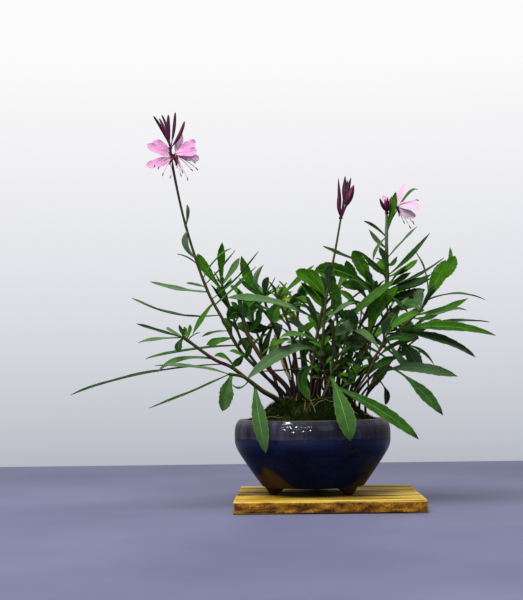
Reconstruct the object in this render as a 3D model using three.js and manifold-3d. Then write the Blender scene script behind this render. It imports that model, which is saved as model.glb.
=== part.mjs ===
// Potted gaura in a footed bowl, on a small wooden display board.
// Millimetres, +Z up, +X to the right and +Y away from the side that is seen.
// The origin is on the table, under the axis of the bowl.

import * as THREE from "three";
import { mergeVertices } from "three/addons/utils/BufferGeometryUtils.js";
import Module from "manifold-3d";

const wasm = await Module();
wasm.setup();

// Board
const BOARD_SIDE = 105;
const BOARD_THICK = 6.5;
const BOARD_BEVEL = 0.7;
const BOARD_SHIFT = 8.3;
const BOARD_TURN = -1.5;

// Bowl
const BOWL_RADIUS = 45;
const BOWL_RIM_TOP = 49.2;
const BOWL_UNDERSIDE = 11.1;
const BOWL_FLOOR_TOP = 15.5;
const BOWL_SIDES = 32;
const SOIL_SIDES = 16;
const MOSS_SIDES = 20;
const DRAIN_RADIUS = 5;
const BOWL_SIDE_STEPS = 9;
const BOWL_INSIDE_STEPS = 6;
// Outer side from the underside's edge to the rim: step in from the bowl's radius, height.
const BOWL_SIDE = [[15.6, BOWL_UNDERSIDE], [8.4, 21.2], [1.2, 32.6], [0, 39.6], [0.6, 45.7], [2.5, 48.8]];
// Inner side from the rim to the floor, the same way.
const BOWL_INSIDE = [[5.2, 48], [3.6, 40], [6.2, 31], [13.6, 20.5], [18.6, BOWL_FLOOR_TOP]];
const BOWL_RIM_CREST = 3.8;
const FOOT_SIDES = 10;
const FOOT_SINK = 2;
const FOOT_RING = 24.4;
const FOOT_SOLE = 3.4;
const FOOT_ROOT = 7.6;
const FOOT_DRAW_IN = 1.4;
const FOOT_AZIMUTHS = [-158, -38, 82];

// Soil and moss
const SOIL_TOP = 45.5;
const SOIL_TOP_RADIUS = 39.2;
const STEM_FOOT = 41;
const SOIL_GAP = 0.4;
const HOLE_EASE = 0.4;
const MOSS_TOP = 60.4;
// Side of the moss mound from its foot to its crown: radius, height.
const MOSS_SIDE = [
  [38.6, SOIL_TOP], [38, 47.4], [33, 49.6], [28.5, 53], [23.5, 57.2], [16, 59.6], [8, MOSS_TOP],
];
const MOSS_FIRM_RADIUS = 35;
const CUSHION_HEIGHT = 0.9;
const CUSHIONS_ROUND = 5;
const CUSHION_TWIST = 0.25;
const CUSHION_RATE = 0.21;

// Plant
const LEAF_THICK = 0.8;
const PETAL_THICK = 0.7;
const ROOT_DEPTH = 0.7;
const KEEL = 0.18;
const LEAST_HALF = 0.4;
const GOLDEN_ANGLE = 137.5;
const SPRAY_LIFT = 30;
const SPRAY_SHRINK = 0.45;
const TUFT_RISE = 35;
const TUFT_LIFT = 40;
const TUFT_SHRINK = 0.4;
const TUFT_STEP = 0.012;
const TUFT_WIDTH = 2.6;
const LEAF_BOW = 0.06;
const LEAF_DROOP = 0.1;
const LONG_ROUTE = 5;
const LONG_STEM_STEPS = 9;
const STEM_SIDES = 4;
const TUBE_FOOT_RADIUS = 0.7;
const TUBE_TOP_RADIUS = 0.8;
const STAMEN_RADIUS = 0.4;
const STAMEN_SIDES = 3;
const STAMEN_BOW = new THREE.Vector3(0, -1, 1);
const BLOOM_CORE = 1.3;
const HEAD_CORE = 1.2;

// The eye that the places of stems, leaves and petals were taken from.
const EYE = new THREE.Vector3(-28.5, -706, 69);

// Outlines from root to tip: part of the length, half width as part of the full width.
const OUTLINES = {
  toothed: [[0, 0], [0.12, 0.12], [0.42, 0.43], [0.47, 0.39], [0.64, 0.5], [0.85, 0.35], [1, 0]],
  broad: [[0, 0], [0.12, 0.13], [0.44, 0.43], [0.66, 0.5], [0.86, 0.33], [1, 0]],
  slim: [[0, 0], [0.2, 0.25], [0.66, 0.5], [1, 0]],
  young: [[0, 0], [0.6, 0.5], [1, 0]],
  petal: [[0, 0], [0.14, 0.11], [0.36, 0.2], [0.6, 0.47], [0.84, 0.45], [1, 0]],
  bud: [[0, 0], [0.12, 0.26], [0.62, 0.5], [1, 0]],
};

// Leafy shoots. A place is [x, y, z]: x and z as they show in the plane of the bowl's axis, y the depth.
// route: places along the stem. girth: radius at the foot and at the top.
// leaves: [part of the stem, middle of the leaf, tip, width, degrees the blade turns to the front].
// spray: [count, from, to, length, width, first azimuth, rise]. tuft: [count, length, first azimuth].
const SHOOTS = [
  {
    name: "left_flower_stem",
    girth: [1.2, 0.6],
    route: [
      [-14.5, 2, 61], [-28.5, 2, 75.5], [-41.5, 0, 89.5], [-51, -3, 107], [-59, -4, 122],
      [-66.5, -5, 142.5], [-74, -5, 169], [-80, -5, 199], [-81, -5, 207.5],
    ],
    leaves: [
      [0.27, [-70.5, 0.5, 91], [-96.5, 1.5, 85], 6.5, 15],
      [0.3, [-53.5, -4, 97.5], [-60, -5, 93], 4, 65],
      [0.33, [-56, -3, 101], [-63.5, -3, 97.5], 2, 40],
      [0.23, [-42, -0.5, 83], [-46.5, -2.5, 80], 4, 65],
      [0.63, [-73, -8, 151], [-71.5, -9, 159.5], 4, -45],
      [0.72, [-70, -8, 169], [-72, -9, 175], 2.5, 10],
      [0.61, [-71.5, -2, 144], [-77.5, 0, 146], 2, 10],
      [0.51, [-75.5, -7, 127], [-93, -9, 130.5], 4, 35],
      [0.4, [-78, -5.5, 112.5], [-104, -7.5, 120.5], 6.5, 5],
      [0.46, [-65, -6.5, 109.5], [-69.5, -7.5, 98.5], 3, 55],
      [0.53, [-67, -1, 128], [-72.5, 2, 129], 2, 40],
      [0.56, [-55.5, -6.5, 142], [-46, -7.5, 149], 3, 25],
      [0.54, [-52, -5.5, 137.5], [-43.5, -5.5, 148], 3, 20],
      [0.48, [-44, -4, 130.5], [-30, -4, 147], 4.5, 10],
      [0.45, [-44, -6.5, 126], [-31.5, -8.5, 138], 4, 30],
    ],
    spray: [3, 0.14, 0.3, 24, 5, 210, 35],
  },
  {
    name: "middle_flower_stem",
    girth: [1.1, 0.6],
    route: [
      [3.5, -8, 65], [6.5, -9, 91.5], [8.5, -10, 113.5], [11, -10, 128.5], [15, -10, 147], [18.5, -9, 165.5],
    ],
    leaves: [
      [0.47, [0.5, -13, 132], [-9.5, -14, 136], 8, 60],
      [0.38, [2, -12, 122.5], [-6.5, -13, 129], 5, 55],
    ],
    spray: [3, 0.3, 0.55, 24, 5, 0, 40],
  },
  {
    name: "right_flower_stem",
    girth: [1.2, 0.6],
    route: [
      [19, 4, 62.5], [29.5, 4, 88.5], [39.5, 4, 111.5], [44.5, 3, 126], [45, 3, 139.5], [45, 2, 152],
      [45.5, 1, 168],
    ],
    leaves: [
      [0.6, [26, -2, 143.5], [8, -6, 149.5], 5, 30],
      [0.56, [38, -3, 139], [29.5, -6, 145.5], 3, 70],
      [0.23, [37.5, 0, 111], [44.5, -2, 122.5], 8, 90],
      [0.2, [27.5, 2, 91], [22, 2, 90.5], 4, 65],
      [0.5, [60.5, 6, 130.5], [78.5, 9, 142], 5, 15],
      [0.57, [56.5, 5, 143], [70.5, 6, 157], 4.5, 30],
      [0.7, [54, 0, 152], [63, -2, 161], 3, 30],
      [0.56, [54.5, -1, 136.5], [63, -3, 141], 4, 55],
      [0.47, [58, 0, 126], [71, -1, 132.5], 3.5, 60],
      [0.41, [54.5, 3.5, 119], [67, 3.5, 123.5], 5, 55],
      [0.88, [49.5, -1, 168], [51, -2, 181], 5, -45],
      [0.91, [54.5, 12, 177.5], [64.5, 15, 182], 4, 25],
      [0.86, [38.5, 1, 160.5], [32, 1, 164], 2, 65],
      [0.78, [39.5, 3.5, 152.5], [35, 4.5, 159], 3, 55],
      [0.86, [39.5, 0, 148.5], [37, -1, 141], 2, 50],
      [0.65, [41.5, 5, 141], [38.5, 6, 142], 2, 20],
    ],
    spray: [5, 0.3, 0.6, 28, 6, 50, 35],
  },
  {
    name: "low_left_shoot",
    girth: [1.1, 0.8],
    route: [
      [-19.5, -8, 58], [-29, -10, 69], [-37, -12, 77], [-49.5, -14, 83], [-59.5, -15, 85], [-74, -18, 97],
    ],
    leaves: [
      [1, [-89, -19, 101.5], [-101.5, -18, 105.5], 3.5, 30],
      [1, [-89, -22, 96.5], [-100.5, -26, 94.5], 3, 30],
      [1, [-81, -15, 101], [-84, -11, 103], 2, 40],
      [1, [-77, -22, 92.5], [-76, -24, 88.5], 4, 15],
      [1, [-75.5, -20, 101], [-76.5, -23, 104.5], 2, 0],
      [0.99, [-72.5, -15, 100], [-74, -13, 103.5], 2, 40],
      [0.98, [-70.5, -16.5, 101], [-70.5, -15.5, 104.5], 2, 40],
      [0.8, [-76.5, -18, 84.5], [-89.5, -20, 77], 3.5, 45],
      [0.69, [-98, -17.5, 78], [-140, -24.5, 65], 8, 10],
      [0.54, [-50, -16.5, 85.5], [-56.5, -18.5, 86], 3, 55],
      [0.29, [-31, -35, 52], [-27, -43, 29.5], 9.5, 0],
    ],
    tuft: [3, 9, 0],
  },
  {
    name: "left_front_shoot",
    girth: [1, 0.8],
    route: [[-16, -13, 56.5], [-29, -14, 63.5], [-40, -17, 72], [-48, -20, 75.5]],
    leaves: [
      [1, [-67, -22, 80.5], [-91, -25, 81], 5, 20],
      [1, [-70.5, -24, 66.5], [-94, -29, 57], 6, 10],
      [0.94, [-49.5, -25.5, 65], [-52, -28.5, 54], 9, 65],
    ],
  },
  {
    name: "left_inner_shoot",
    girth: [1.1, 0.7],
    route: [[-16.5, 8, 60], [-28.5, 8, 76.5], [-39.5, 7, 92.5], [-46, 6, 111.5], [-51.5, 4, 127.5]],
    leaves: [
      [0.74, [-50.5, 8, 118], [-58, 10, 128], 2.5, 45],
      [0.92, [-59.5, 6.5, 137], [-65, 8.5, 146], 4, 55],
      [1, [-52, 5, 141], [-51, 6, 152.5], 5, 55],
      [1, [-46.5, 9, 136.5], [-41, 12, 144], 3.5, 50],
      [0.97, [-48, 5, 128], [-46, 6, 131.5], 2, 40],
      [1, [-53.5, 4, 131], [-56, 4, 135.5], 2, 10],
    ],
    spray: [4, 0.4, 0.8, 24, 5, 100, 35],
    tuft: [3, 8, 0],
  },
  {
    name: "red_left_shoot",
    girth: [1.4, 0.9],
    route: [[-12.5, -4, 63.5], [-24, -4, 77.5], [-31, -4, 88], [-37, -3, 99], [-39.5, -2, 108]],
    leaves: [
      [0.93, [-43, -5.5, 111.5], [-48.5, -7.5, 107], 6, 60],
      [1, [-37.5, 0, 112.5], [-39.5, 1, 117.5], 3, -15],
      [0.75, [-32, -5, 104.5], [-28.5, -7, 110], 3.5, 90],
    ],
    spray: [3, 0.45, 0.9, 22, 5, 340, 30],
    tuft: [3, 10, 0],
  },
  {
    name: "left_mid_shoot",
    girth: [1.1, 0.8],
    route: [[-11, 12, 63], [-15.5, 12, 83.5], [-21, 12, 101], [-26, 11, 115.5], [-27, 10, 121.5]],
    leaves: [
      [0.97, [-33.5, 10, 129.5], [-39, 10, 144], 5.5, 60],
      [0.91, [-35, 7.5, 125], [-41.5, 6.5, 131.5], 3.5, 60],
      [1, [-29, 8, 131.5], [-27, 7, 139], 3, 10],
      [0.52, [-31.5, 14, 102], [-40.5, 14, 104.5], 5.5, 60],
      [1, [-21, 8, 123.5], [-18, 7, 127.5], 3, 40],
      [1, [-23.5, 10, 126], [-20.5, 10, 131.5], 2, 20],
    ],
    spray: [5, 0.4, 0.9, 24, 5, 90, 35],
    tuft: [4, 10, 0],
  },
  {
    name: "inner_shoot",
    girth: [1.1, 0.8],
    route: [[-7, 4, 63.5], [-9, 4, 83], [-12, 4, 100.5], [-16.5, 3, 113.5], [-19, 3, 119]],
    leaves: [
      [1, [-8, 6, 129], [2.5, 7, 138.5], 3.5, 45],
      [0.92, [-12, 0, 120], [-6.5, -2, 117.5], 4, 65],
      [1, [-16.5, 1, 124], [-13.5, 0, 128.5], 2, 60],
      [0.68, [-6, 1.5, 118], [-0.5, 1.5, 115.5], 5, 55],
    ],
    spray: [5, 0.4, 0.9, 24, 5, 30, 35],
    tuft: [5, 11, 20],
  },
  {
    name: "centre_shoot",
    girth: [1.1, 0.8],
    route: [[-0.5, -3, 64.5], [2, -2, 89], [6, 0, 109], [8.5, 2, 119.5]],
    leaves: [
      [0.59, [-20, -7.5, 117], [-48.5, -9.5, 120], 7, 35],
      [0.33, [-15, -9, 88.5], [-38, -17, 72], 6.5, 65],
      [0.2, [-4.5, -14, 72], [-2.5, -22, 59.5], 8, 30],
    ],
    spray: [5, 0.45, 0.95, 26, 5.5, 70, 40],
    tuft: [4, 12, 0],
  },
  {
    name: "centre_back_shoot",
    girth: [1.1, 0.8],
    route: [[7.5, 7, 64], [14, 7, 88.5], [20, 7, 106]],
    leaves: [
      [0.96, [32.5, -2, 116.5], [49.5, -7, 129], 5, 70],
      [1, [15, 7, 118.5], [13.5, 7, 129.5], 5, 55],
    ],
    spray: [5, 0.4, 0.95, 24, 5.5, 310, 40],
    tuft: [4, 11, 0],
  },
  {
    name: "right_inner_shoot",
    girth: [1.1, 0.8],
    route: [[13.5, 11, 64], [24, 11, 91.5], [32.5, 11, 110.5], [38, 10, 123]],
    leaves: [
      [1, [30, 8, 137.5], [25, 6, 146.5], 9.5, 70],
      [0.99, [26, 5, 128], [18.5, 2, 128], 6, 60],
      [1, [22.5, 12, 140.5], [2.5, 10, 134.5], 7, 65],
      [0.8, [25.5, 13.5, 130], [21.5, 14.5, 141], 5, 55],
      [0.56, [23, 1, 103.5], [14, -3, 97], 5, 55],
    ],
    spray: [6, 0.4, 0.95, 28, 6, 260, 38],
    tuft: [3, 10, 0],
  },
  {
    name: "red_right_shoot",
    girth: [1.1, 0.7],
    route: [[23.5, -4, 62], [40, -5, 88.5], [55, -6, 103], [64.5, -7, 112], [71.5, -8, 123], [76, -9, 129]],
    leaves: [
      [0.66, [74, -10.5, 129], [79.5, -12.5, 140.5], 8, 90],
      [0.91, [80.5, -6.5, 134.5], [85, -5.5, 143], 6.5, 65],
      [1, [81.5, -3, 138], [82, 0, 148], 3, 0],
      [0.69, [85.5, -7.5, 121.5], [102, -9.5, 117], 4, 10],
      [0.52, [78.5, -9.5, 113], [92, -11.5, 118], 4, 50],
      [0.71, [67.5, -6.5, 133.5], [61.5, -6.5, 146], 3.5, 5],
      [0.6, [63.5, -5, 119], [62.5, -4, 123.5], 4, 65],
      [0.48, [66.5, -9.5, 106.5], [74, -11.5, 108.5], 2.5, 70],
    ],
    spray: [3, 0.35, 0.6, 26, 5.5, 40, 35],
  },
  {
    name: "right_front_shoot",
    girth: [1.1, 0.8],
    route: [[23.5, -13, 60], [33, -14, 75.5], [40, -16, 89.5], [45, -17, 99]],
    leaves: [
      [1, [75.5, -20, 106], [107.5, -24, 96], 7.5, 40],
      [0.95, [70.5, -18, 97.5], [95.5, -20, 83.5], 6.5, 45],
    ],
    spray: [4, 0.5, 0.95, 26, 5.5, 0, 30],
    tuft: [3, 9, 0],
  },
  {
    name: "low_right_shoot",
    girth: [1.1, 0.8],
    route: [[28, -8, 60], [37, -10, 71], [45.5, -12, 78.5]],
    leaves: [
      [1, [60, -17, 67.5], [76, -21, 50], 7, 65],
      [0.8, [63, -12, 80], [85, -14, 72.5], 5, 60],
      [0.56, [45.5, -9, 65], [42.5, -7, 56.5], 4.5, 90],
      [0.03, [35, -6, 58], [43.5, -4, 51], 5.5, 60],
    ],
  },
  {
    name: "right_red_side_shoot",
    girth: [1.1, 0.7],
    route: [[31.5, 1, 61.5], [39.5, 1, 72], [48.5, 0, 85], [52.5, 0, 91.5], [55, -1, 98.5]],
    leaves: [
      [0.92, [73, 6.5, 113], [91.5, 8.5, 111.5], 5.5, 30],
      [1, [81, 8, 105.5], [104, 11, 104.5], 6.5, 15],
      [0.75, [61, -2, 86.5], [63.5, -3, 75], 5, 55],
      [0.75, [63.5, 2, 88], [71.5, 4, 79], 3, 40],
      [0, [38, 4, 71.5], [45.5, 5, 81], 5, 55],
      [1, [49, 2, 107], [46, 2, 114.5], 3, 55],
    ],
    spray: [4, 0.5, 0.95, 28, 6, 150, 30],
    tuft: [4, 11, 30],
  },
  {
    name: "front_shoot",
    girth: [1, 0.8],
    route: [[6, -15, 58], [9, -17, 66.5], [11.5, -18, 73]],
    leaves: [
      [1, [18, -42, 54.5], [22, -48, 36], 12, 5],
      [0.68, [40, -22.5, 55], [61.5, -25.5, 36.5], 8, 60],
    ],
  },
  {
    name: "back_left_shoot",
    girth: [1.1, 0.7],
    route: [[-18, 17, 60.5], [-25, 22, 82], [-32, 28, 101], [-35.5, 33, 112.5]],
    spray: [7, 0.35, 1, 34, 6.4, 70, 30],
  },
  {
    name: "back_inner_shoot",
    girth: [1.1, 0.7],
    route: [[-4.5, 16, 61.5], [-5.5, 22, 86], [-7.5, 28, 107.5], [-8.5, 31, 115]],
    spray: [7, 0.35, 1, 32, 6.2, 230, 38],
  },
  {
    name: "back_centre_shoot",
    girth: [1.1, 0.7],
    route: [[4.5, 21, 62], [6, 32, 83], [4, 42, 100.5]],
    spray: [8, 0.4, 1, 34, 6.4, 0, 25],
  },
  {
    name: "back_mid_shoot",
    girth: [1.1, 0.7],
    route: [[11, 15, 61.5], [15.5, 21, 88.5], [15, 27, 115], [14, 29, 122.5]],
    spray: [7, 0.35, 1, 34, 6.4, 60, 32],
  },
  {
    name: "back_right_shoot",
    girth: [1.1, 0.7],
    route: [[21.5, 14, 61.5], [32, 20, 88.5], [40.5, 26, 104.5], [47.5, 29, 114.5]],
    spray: [6, 0.35, 1, 32, 6.2, 60, 28],
  },
  {
    name: "back_side_shoot",
    girth: [1.1, 0.7],
    route: [[25.5, 8, 61], [40, 12, 78], [53, 17, 88], [62, 22, 95]],
    spray: [7, 0.35, 1, 34, 6.4, 30, 20],
  },
  {
    name: "dry_stalk",
    girth: [0.9, 0.7],
    route: [[-9, 8.5, 64.5], [-15, 9, 77], [-18.5, 9.5, 88], [-21, 10, 98]],
  },
];

// Blooms. petals: [middle, tip, width, degrees the blade turns to the front]. stamens: tips.
const BLOOMS = [
  {
    name: "left_bloom_one",
    stem: "left_flower_stem",
    tubeFoot: 0.96,
    centre: [-80, -9, 204],
    petals: [
      [[-88, -11, 208], [-95, -13, 211], 6, 70],
      [[-86.5, -6, 212], [-91.5, -5, 213.5], 5.5, 50],
      [[-87, -13, 200], [-95.5, -16, 198.5], 6, 70],
    ],
    stamens: [[-90.5, -17, 198], [-88, -15, 197], [-85.5, -13, 193], [-81, -13, 191.5]],
  },
  {
    name: "left_bloom_two",
    stem: "left_flower_stem",
    tubeFoot: 0.9,
    centre: [-77, -6, 206],
    petals: [
      [[-76, -3, 211.5], [-73.5, -1, 217], 5.5, 50],
      [[-70.5, -8, 211], [-65.5, -9, 212.5], 6, 70],
      [[-69.5, -11, 206.5], [-65.5, -13, 208.5], 5.5, 45],
      [[-69.5, -7, 203], [-64, -6, 202], 5.5, 30],
    ],
    stamens: [
      [-75, -9, 192.5], [-74, -7, 194.5], [-71, -11, 190], [-68.5, -9, 195.5], [-65.5, -8, 196],
      [-67, -12, 200],
    ],
  },
  {
    name: "right_bloom",
    stem: "right_flower_stem",
    tubeFoot: 0.95,
    centre: [51, 4, 172.5],
    petals: [
      [[54.5, 5, 182], [59.5, 7, 186.5], 5.5, 45],
      [[58.5, 1, 174.5], [64.5, -2, 172], 5.5, 50],
      [[57, 2, 168], [62.5, 2, 167], 5.5, 35],
      [[45, 9, 177], [42, 11, 180.5], 5.5, 50],
    ],
    stamens: [[55.5, 3, 163], [59, 1, 160], [61, 4, 162.5], [63.5, 1, 176]],
  },
];

// Heads of closed buds. buds: [middle, tip, width].
const BUD_HEADS = [
  {
    name: "left_bud_head",
    stem: "left_flower_stem",
    foot: [-81, -5, 208.5],
    buds: [
      [[-85.5, -7, 219], [-91, -10, 228], 1.9],
      [[-83.5, -3, 217.5], [-87.5, -3, 226.5], 2.2],
      [[-82.5, 1, 219], [-86, 4, 228.5], 1.9],
      [[-82, -6, 219], [-82, -7, 228.5], 2.6],
      [[-79, -1, 218.5], [-78, 2, 230], 1.9],
      [[-76, -6, 215.5], [-72.5, -5, 224.5], 1.9],
    ],
  },
  {
    name: "middle_bud_head",
    stem: "middle_flower_stem",
    foot: [18.5, -9, 166],
    buds: [
      [[18, -10, 175.5], [17.5, -11, 190], 2.6],
      [[20.5, -6, 178.5], [21.5, -5, 191], 2.8],
      [[22, -9, 177.5], [25, -9, 190], 2.3],
      [[25.5, -12, 177], [27.5, -13, 185], 4.5],
    ],
  },
  {
    name: "right_bud_head",
    stem: "right_flower_stem",
    foot: [45.5, 1, 168.5],
    buds: [
      [[43, -1, 173.5], [41.5, -2, 177.5], 1.9],
      [[45, 3, 173.5], [44.5, 4, 177], 1.9],
      [[46, -2, 173.5], [46, -3, 178], 1.9],
      [[47.5, 1, 174], [48.5, 2, 178.5], 2.6],
    ],
  },
];

const finish = (color, roughness) => new THREE.MeshStandardMaterial({ color, roughness, metalness: 0 });
const LEAF_GREEN = 0x2f6a2c;
const STALK_TAN = 0xcbb07a;
const PETAL_PINK = 0xd98bc4;
const BUD_MAROON = 0x5a1638;

// A closed geometry as a solid that can be joined and cut.
function solidOf(geometry) {
  const bare = geometry.index ? geometry.clone() : mergeVertices(geometry.clone());
  bare.deleteAttribute("normal");
  bare.deleteAttribute("uv");
  const merged = mergeVertices(bare, 1e-4);
  const mesh = new wasm.Mesh({
    numProp: 3,
    vertProperties: new Float32Array(merged.attributes.position.array),
    triVerts: new Uint32Array(merged.index.array),
  });
  return new wasm.Manifold(mesh);
}

const joined = (solids) => solids.reduce((sum, solid) => sum.add(solid));

function meshOf(name, solid, material) {
  const { vertProperties, triVerts } = solid.getMesh();
  const geometry = new THREE.BufferGeometry();
  geometry.setAttribute("position", new THREE.BufferAttribute(new Float32Array(vertProperties), 3));
  geometry.setIndex(new THREE.BufferAttribute(new Uint32Array(triVerts), 1));
  geometry.computeVertexNormals();
  const mesh = new THREE.Mesh(geometry, material);
  mesh.name = name;
  return mesh;
}

// Moves every corner of a geometry to the place that the rule gives for it.
function reshape(geometry, rule) {
  const at = geometry.attributes.position;
  const corner = new THREE.Vector3();
  for (let i = 0; i < at.count; i++) {
    corner.fromBufferAttribute(at, i);
    at.setXYZ(i, ...rule(corner).toArray());
  }
  return geometry;
}

// The real place of a point that shows at x, z and lies y behind the bowl's axis.
function seen([x, y, z]) {
  const reach = (y - EYE.y) / -EYE.y;
  return new THREE.Vector3(EYE.x + (x - EYE.x) * reach, y, EYE.z + (z - EYE.z) * reach);
}

// A round stalk along a curve, narrowing from one radius to the other.
function stalk(curve, footRadius, topRadius, sides, steps) {
  const side = new THREE.Vector3(0, 1, 0);
  return solidOf(reshape(new THREE.CylinderGeometry(1, 1, 1, sides, steps), (corner) => {
    const part = corner.y + 0.5;
    const along = curve.getTangent(part);
    const across = side.clone().addScaledVector(along, -side.dot(along)).normalize();
    const other = across.clone().cross(along);
    const radius = THREE.MathUtils.lerp(footRadius, topRadius, part);
    return curve.getPoint(part)
      .addScaledVector(across, corner.x * radius)
      .addScaledVector(other, corner.z * radius);
  }));
}

// A leaf, petal or bud from its root through its middle to its tip, four-sided in section.
function blade(root, middle, tip, width, turn, outline, thick) {
  const bend = middle.clone().multiplyScalar(2).addScaledVector(root, -0.5).addScaledVector(tip, -0.5);
  const rib = new THREE.QuadraticBezierCurve3(root, bend, tip);
  const chord = tip.clone().sub(root);
  const level = new THREE.Vector3(0, 0, 1).cross(chord);
  const angle = THREE.MathUtils.degToRad(turn) * (chord.x < 0 ? -1 : 1);
  const stations = OUTLINES[outline];
  const shape = new THREE.SphereGeometry(1, 4, stations.length - 1);
  return solidOf(reshape(shape, (corner) => {
    const row = Math.round((Math.acos(corner.y) / Math.PI) * (stations.length - 1));
    const [part, half] = stations[row];
    const along = rib.getTangent(part);
    const place = rib.getPoint(part);
    if (row === 0) return place.addScaledVector(along, -ROOT_DEPTH);
    if (half === 0) return place;
    const flat = level.clone().addScaledVector(along, -level.dot(along)).normalize();
    const face = along.clone().cross(flat);
    const across = flat.clone().multiplyScalar(Math.cos(angle)).addScaledVector(face, Math.sin(angle));
    const normal = along.clone().cross(across);
    const reach = Math.max(half * width, LEAST_HALF);
    if (Math.abs(corner.x) > Math.abs(corner.z)) {
      return place.addScaledVector(across, Math.sign(corner.x) * reach).addScaledVector(normal, KEEL * reach);
    }
    return place.addScaledVector(normal, Math.sign(corner.z) * (thick / 2));
  }));
}

const leafOutline = (width) => (width >= 6.5 ? "toothed" : width >= 4.5 ? "broad" : "slim");

// A leaf that leaves its stem at an azimuth and a rise, and bows a little.
function freeLeaf(root, azimuth, rise, length, width, outline) {
  const turn = THREE.MathUtils.degToRad(azimuth);
  const lift = THREE.MathUtils.degToRad(rise);
  const level = Math.cos(lift);
  const out = new THREE.Vector3(Math.cos(turn) * level, Math.sin(turn) * level, Math.sin(lift));
  const middle = root.clone().addScaledVector(out, 0.52 * length);
  middle.z += LEAF_BOW * length;
  const tip = root.clone().addScaledVector(out, length);
  tip.z -= LEAF_DROOP * length;
  return blade(root, middle, tip, width, 0, outline, LEAF_THICK);
}

function sprayOf(curve, [count, from, to, length, width, first, rise]) {
  return Array.from({ length: count }, (_, k) => {
    const age = k / count;
    const root = curve.getPoint(from + ((to - from) * k) / (count - 1));
    const azimuth = first + k * GOLDEN_ANGLE;
    const reach = length * (1 - SPRAY_SHRINK * age);
    return freeLeaf(root, azimuth, rise + SPRAY_LIFT * age, reach, width, leafOutline(width));
  });
}

function tuftOf(curve, [count, length, first]) {
  return Array.from({ length: count }, (_, k) => {
    const age = k / count;
    const root = curve.getPoint(1 - TUFT_STEP * (count - 1 - k));
    const azimuth = first + k * GOLDEN_ANGLE;
    const reach = length * (1 - TUFT_SHRINK * age);
    return freeLeaf(root, azimuth, TUFT_RISE + TUFT_LIFT * age, reach, TUFT_WIDTH, "young");
  });
}

// The line of a stem: up out of its hole in the soil, then along its route.
function stemCurve({ route }) {
  const places = route.map(seen);
  const foot = new THREE.Vector3(places[0].x, places[0].y, STEM_FOOT);
  return new THREE.CatmullRomCurve3([foot, ...places], false, "catmullrom");
}

const stemSteps = ({ route }) => (route.length > LONG_ROUTE ? LONG_STEM_STEPS : route.length + 1);

function stemOf(shoot, ease) {
  const [foot, top] = shoot.girth;
  return stalk(shoot.curve, foot + ease, top + ease, STEM_SIDES, stemSteps(shoot));
}

// Part of the stem from the moss up, as part of the whole line.
const abovePart = (shoot, part) => (1 + part * (shoot.route.length - 1)) / shoot.route.length;

function shootOf(shoot) {
  const { curve, leaves = [], spray, tuft } = shoot;
  const upper = { getPoint: (part) => curve.getPoint(abovePart(shoot, part)) };
  const blades = leaves.map(([part, middle, tip, width, turn]) => {
    const root = upper.getPoint(part);
    return blade(root, seen(middle), seen(tip), width, turn, leafOutline(width), LEAF_THICK);
  });
  if (spray) blades.push(...sprayOf(upper, spray));
  if (tuft) blades.push(...tuftOf(upper, tuft));
  return joined([stemOf(shoot, 0), ...blades]);
}

function coreOf(centre, radius) {
  return solidOf(new THREE.SphereGeometry(radius, 5, 4).translate(centre.x, centre.y, centre.z));
}

function bloomOf({ tubeFoot, centre, petals, stamens }, shoot) {
  const heart = seen(centre);
  const tube = new THREE.LineCurve3(shoot.curve.getPoint(tubeFoot), heart);
  const filament = (tip) => new THREE.QuadraticBezierCurve3(
    heart,
    heart.clone().lerp(tip, 0.5).add(STAMEN_BOW),
    tip,
  );
  const pieces = [
    coreOf(heart, BLOOM_CORE),
    stalk(tube, TUBE_FOOT_RADIUS, TUBE_TOP_RADIUS, STEM_SIDES, 1),
    ...petals.map(([middle, tip, width, turn]) =>
      blade(heart, seen(middle), seen(tip), width, turn, "petal", PETAL_THICK)),
    ...stamens.map((tip) => stalk(filament(seen(tip)), STAMEN_RADIUS, STAMEN_RADIUS, STAMEN_SIDES, 2)),
  ];
  return joined(pieces).subtract(stemOf(shoot, HOLE_EASE));
}

function budHeadOf({ foot, buds }, shoot) {
  const heart = seen(foot);
  const pieces = buds.map(([middle, tip, width]) =>
    blade(heart, seen(middle), seen(tip), width, 0, "bud", width));
  return joined([coreOf(heart, HEAD_CORE), ...pieces]).subtract(stemOf(shoot, HOLE_EASE));
}

function boardOf() {
  const reach = BOARD_SIDE / 2 - BOARD_BEVEL;
  const outline = new THREE.Shape([
    new THREE.Vector2(-reach, -reach),
    new THREE.Vector2(reach, -reach),
    new THREE.Vector2(reach, reach),
    new THREE.Vector2(-reach, reach),
  ]);
  const slab = new THREE.ExtrudeGeometry(outline, {
    depth: BOARD_THICK - 2 * BOARD_BEVEL,
    bevelThickness: BOARD_BEVEL,
    bevelSize: BOARD_BEVEL,
    bevelSegments: 1,
  });
  slab.translate(0, 0, BOARD_BEVEL);
  slab.rotateZ(THREE.MathUtils.degToRad(BOARD_TURN));
  return solidOf(slab.translate(BOARD_SHIFT, 0, 0));
}

// A body turned about the bowl's axis, from its half outline of radius and height.
function turned(points, sides) {
  const outline = points.map(([radius, height]) => new THREE.Vector2(radius, height));
  return solidOf(new THREE.LatheGeometry(outline, sides).rotateX(Math.PI / 2));
}

// Radius and height of points along the bowl's side, from its steps in from the radius.
function bowlCurve(side, count) {
  const places = side.map(([step, height]) => new THREE.Vector2(BOWL_RADIUS - step, height));
  return new THREE.SplineCurve(places).getPoints(count).map((point) => [point.x, point.y]);
}

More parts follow.
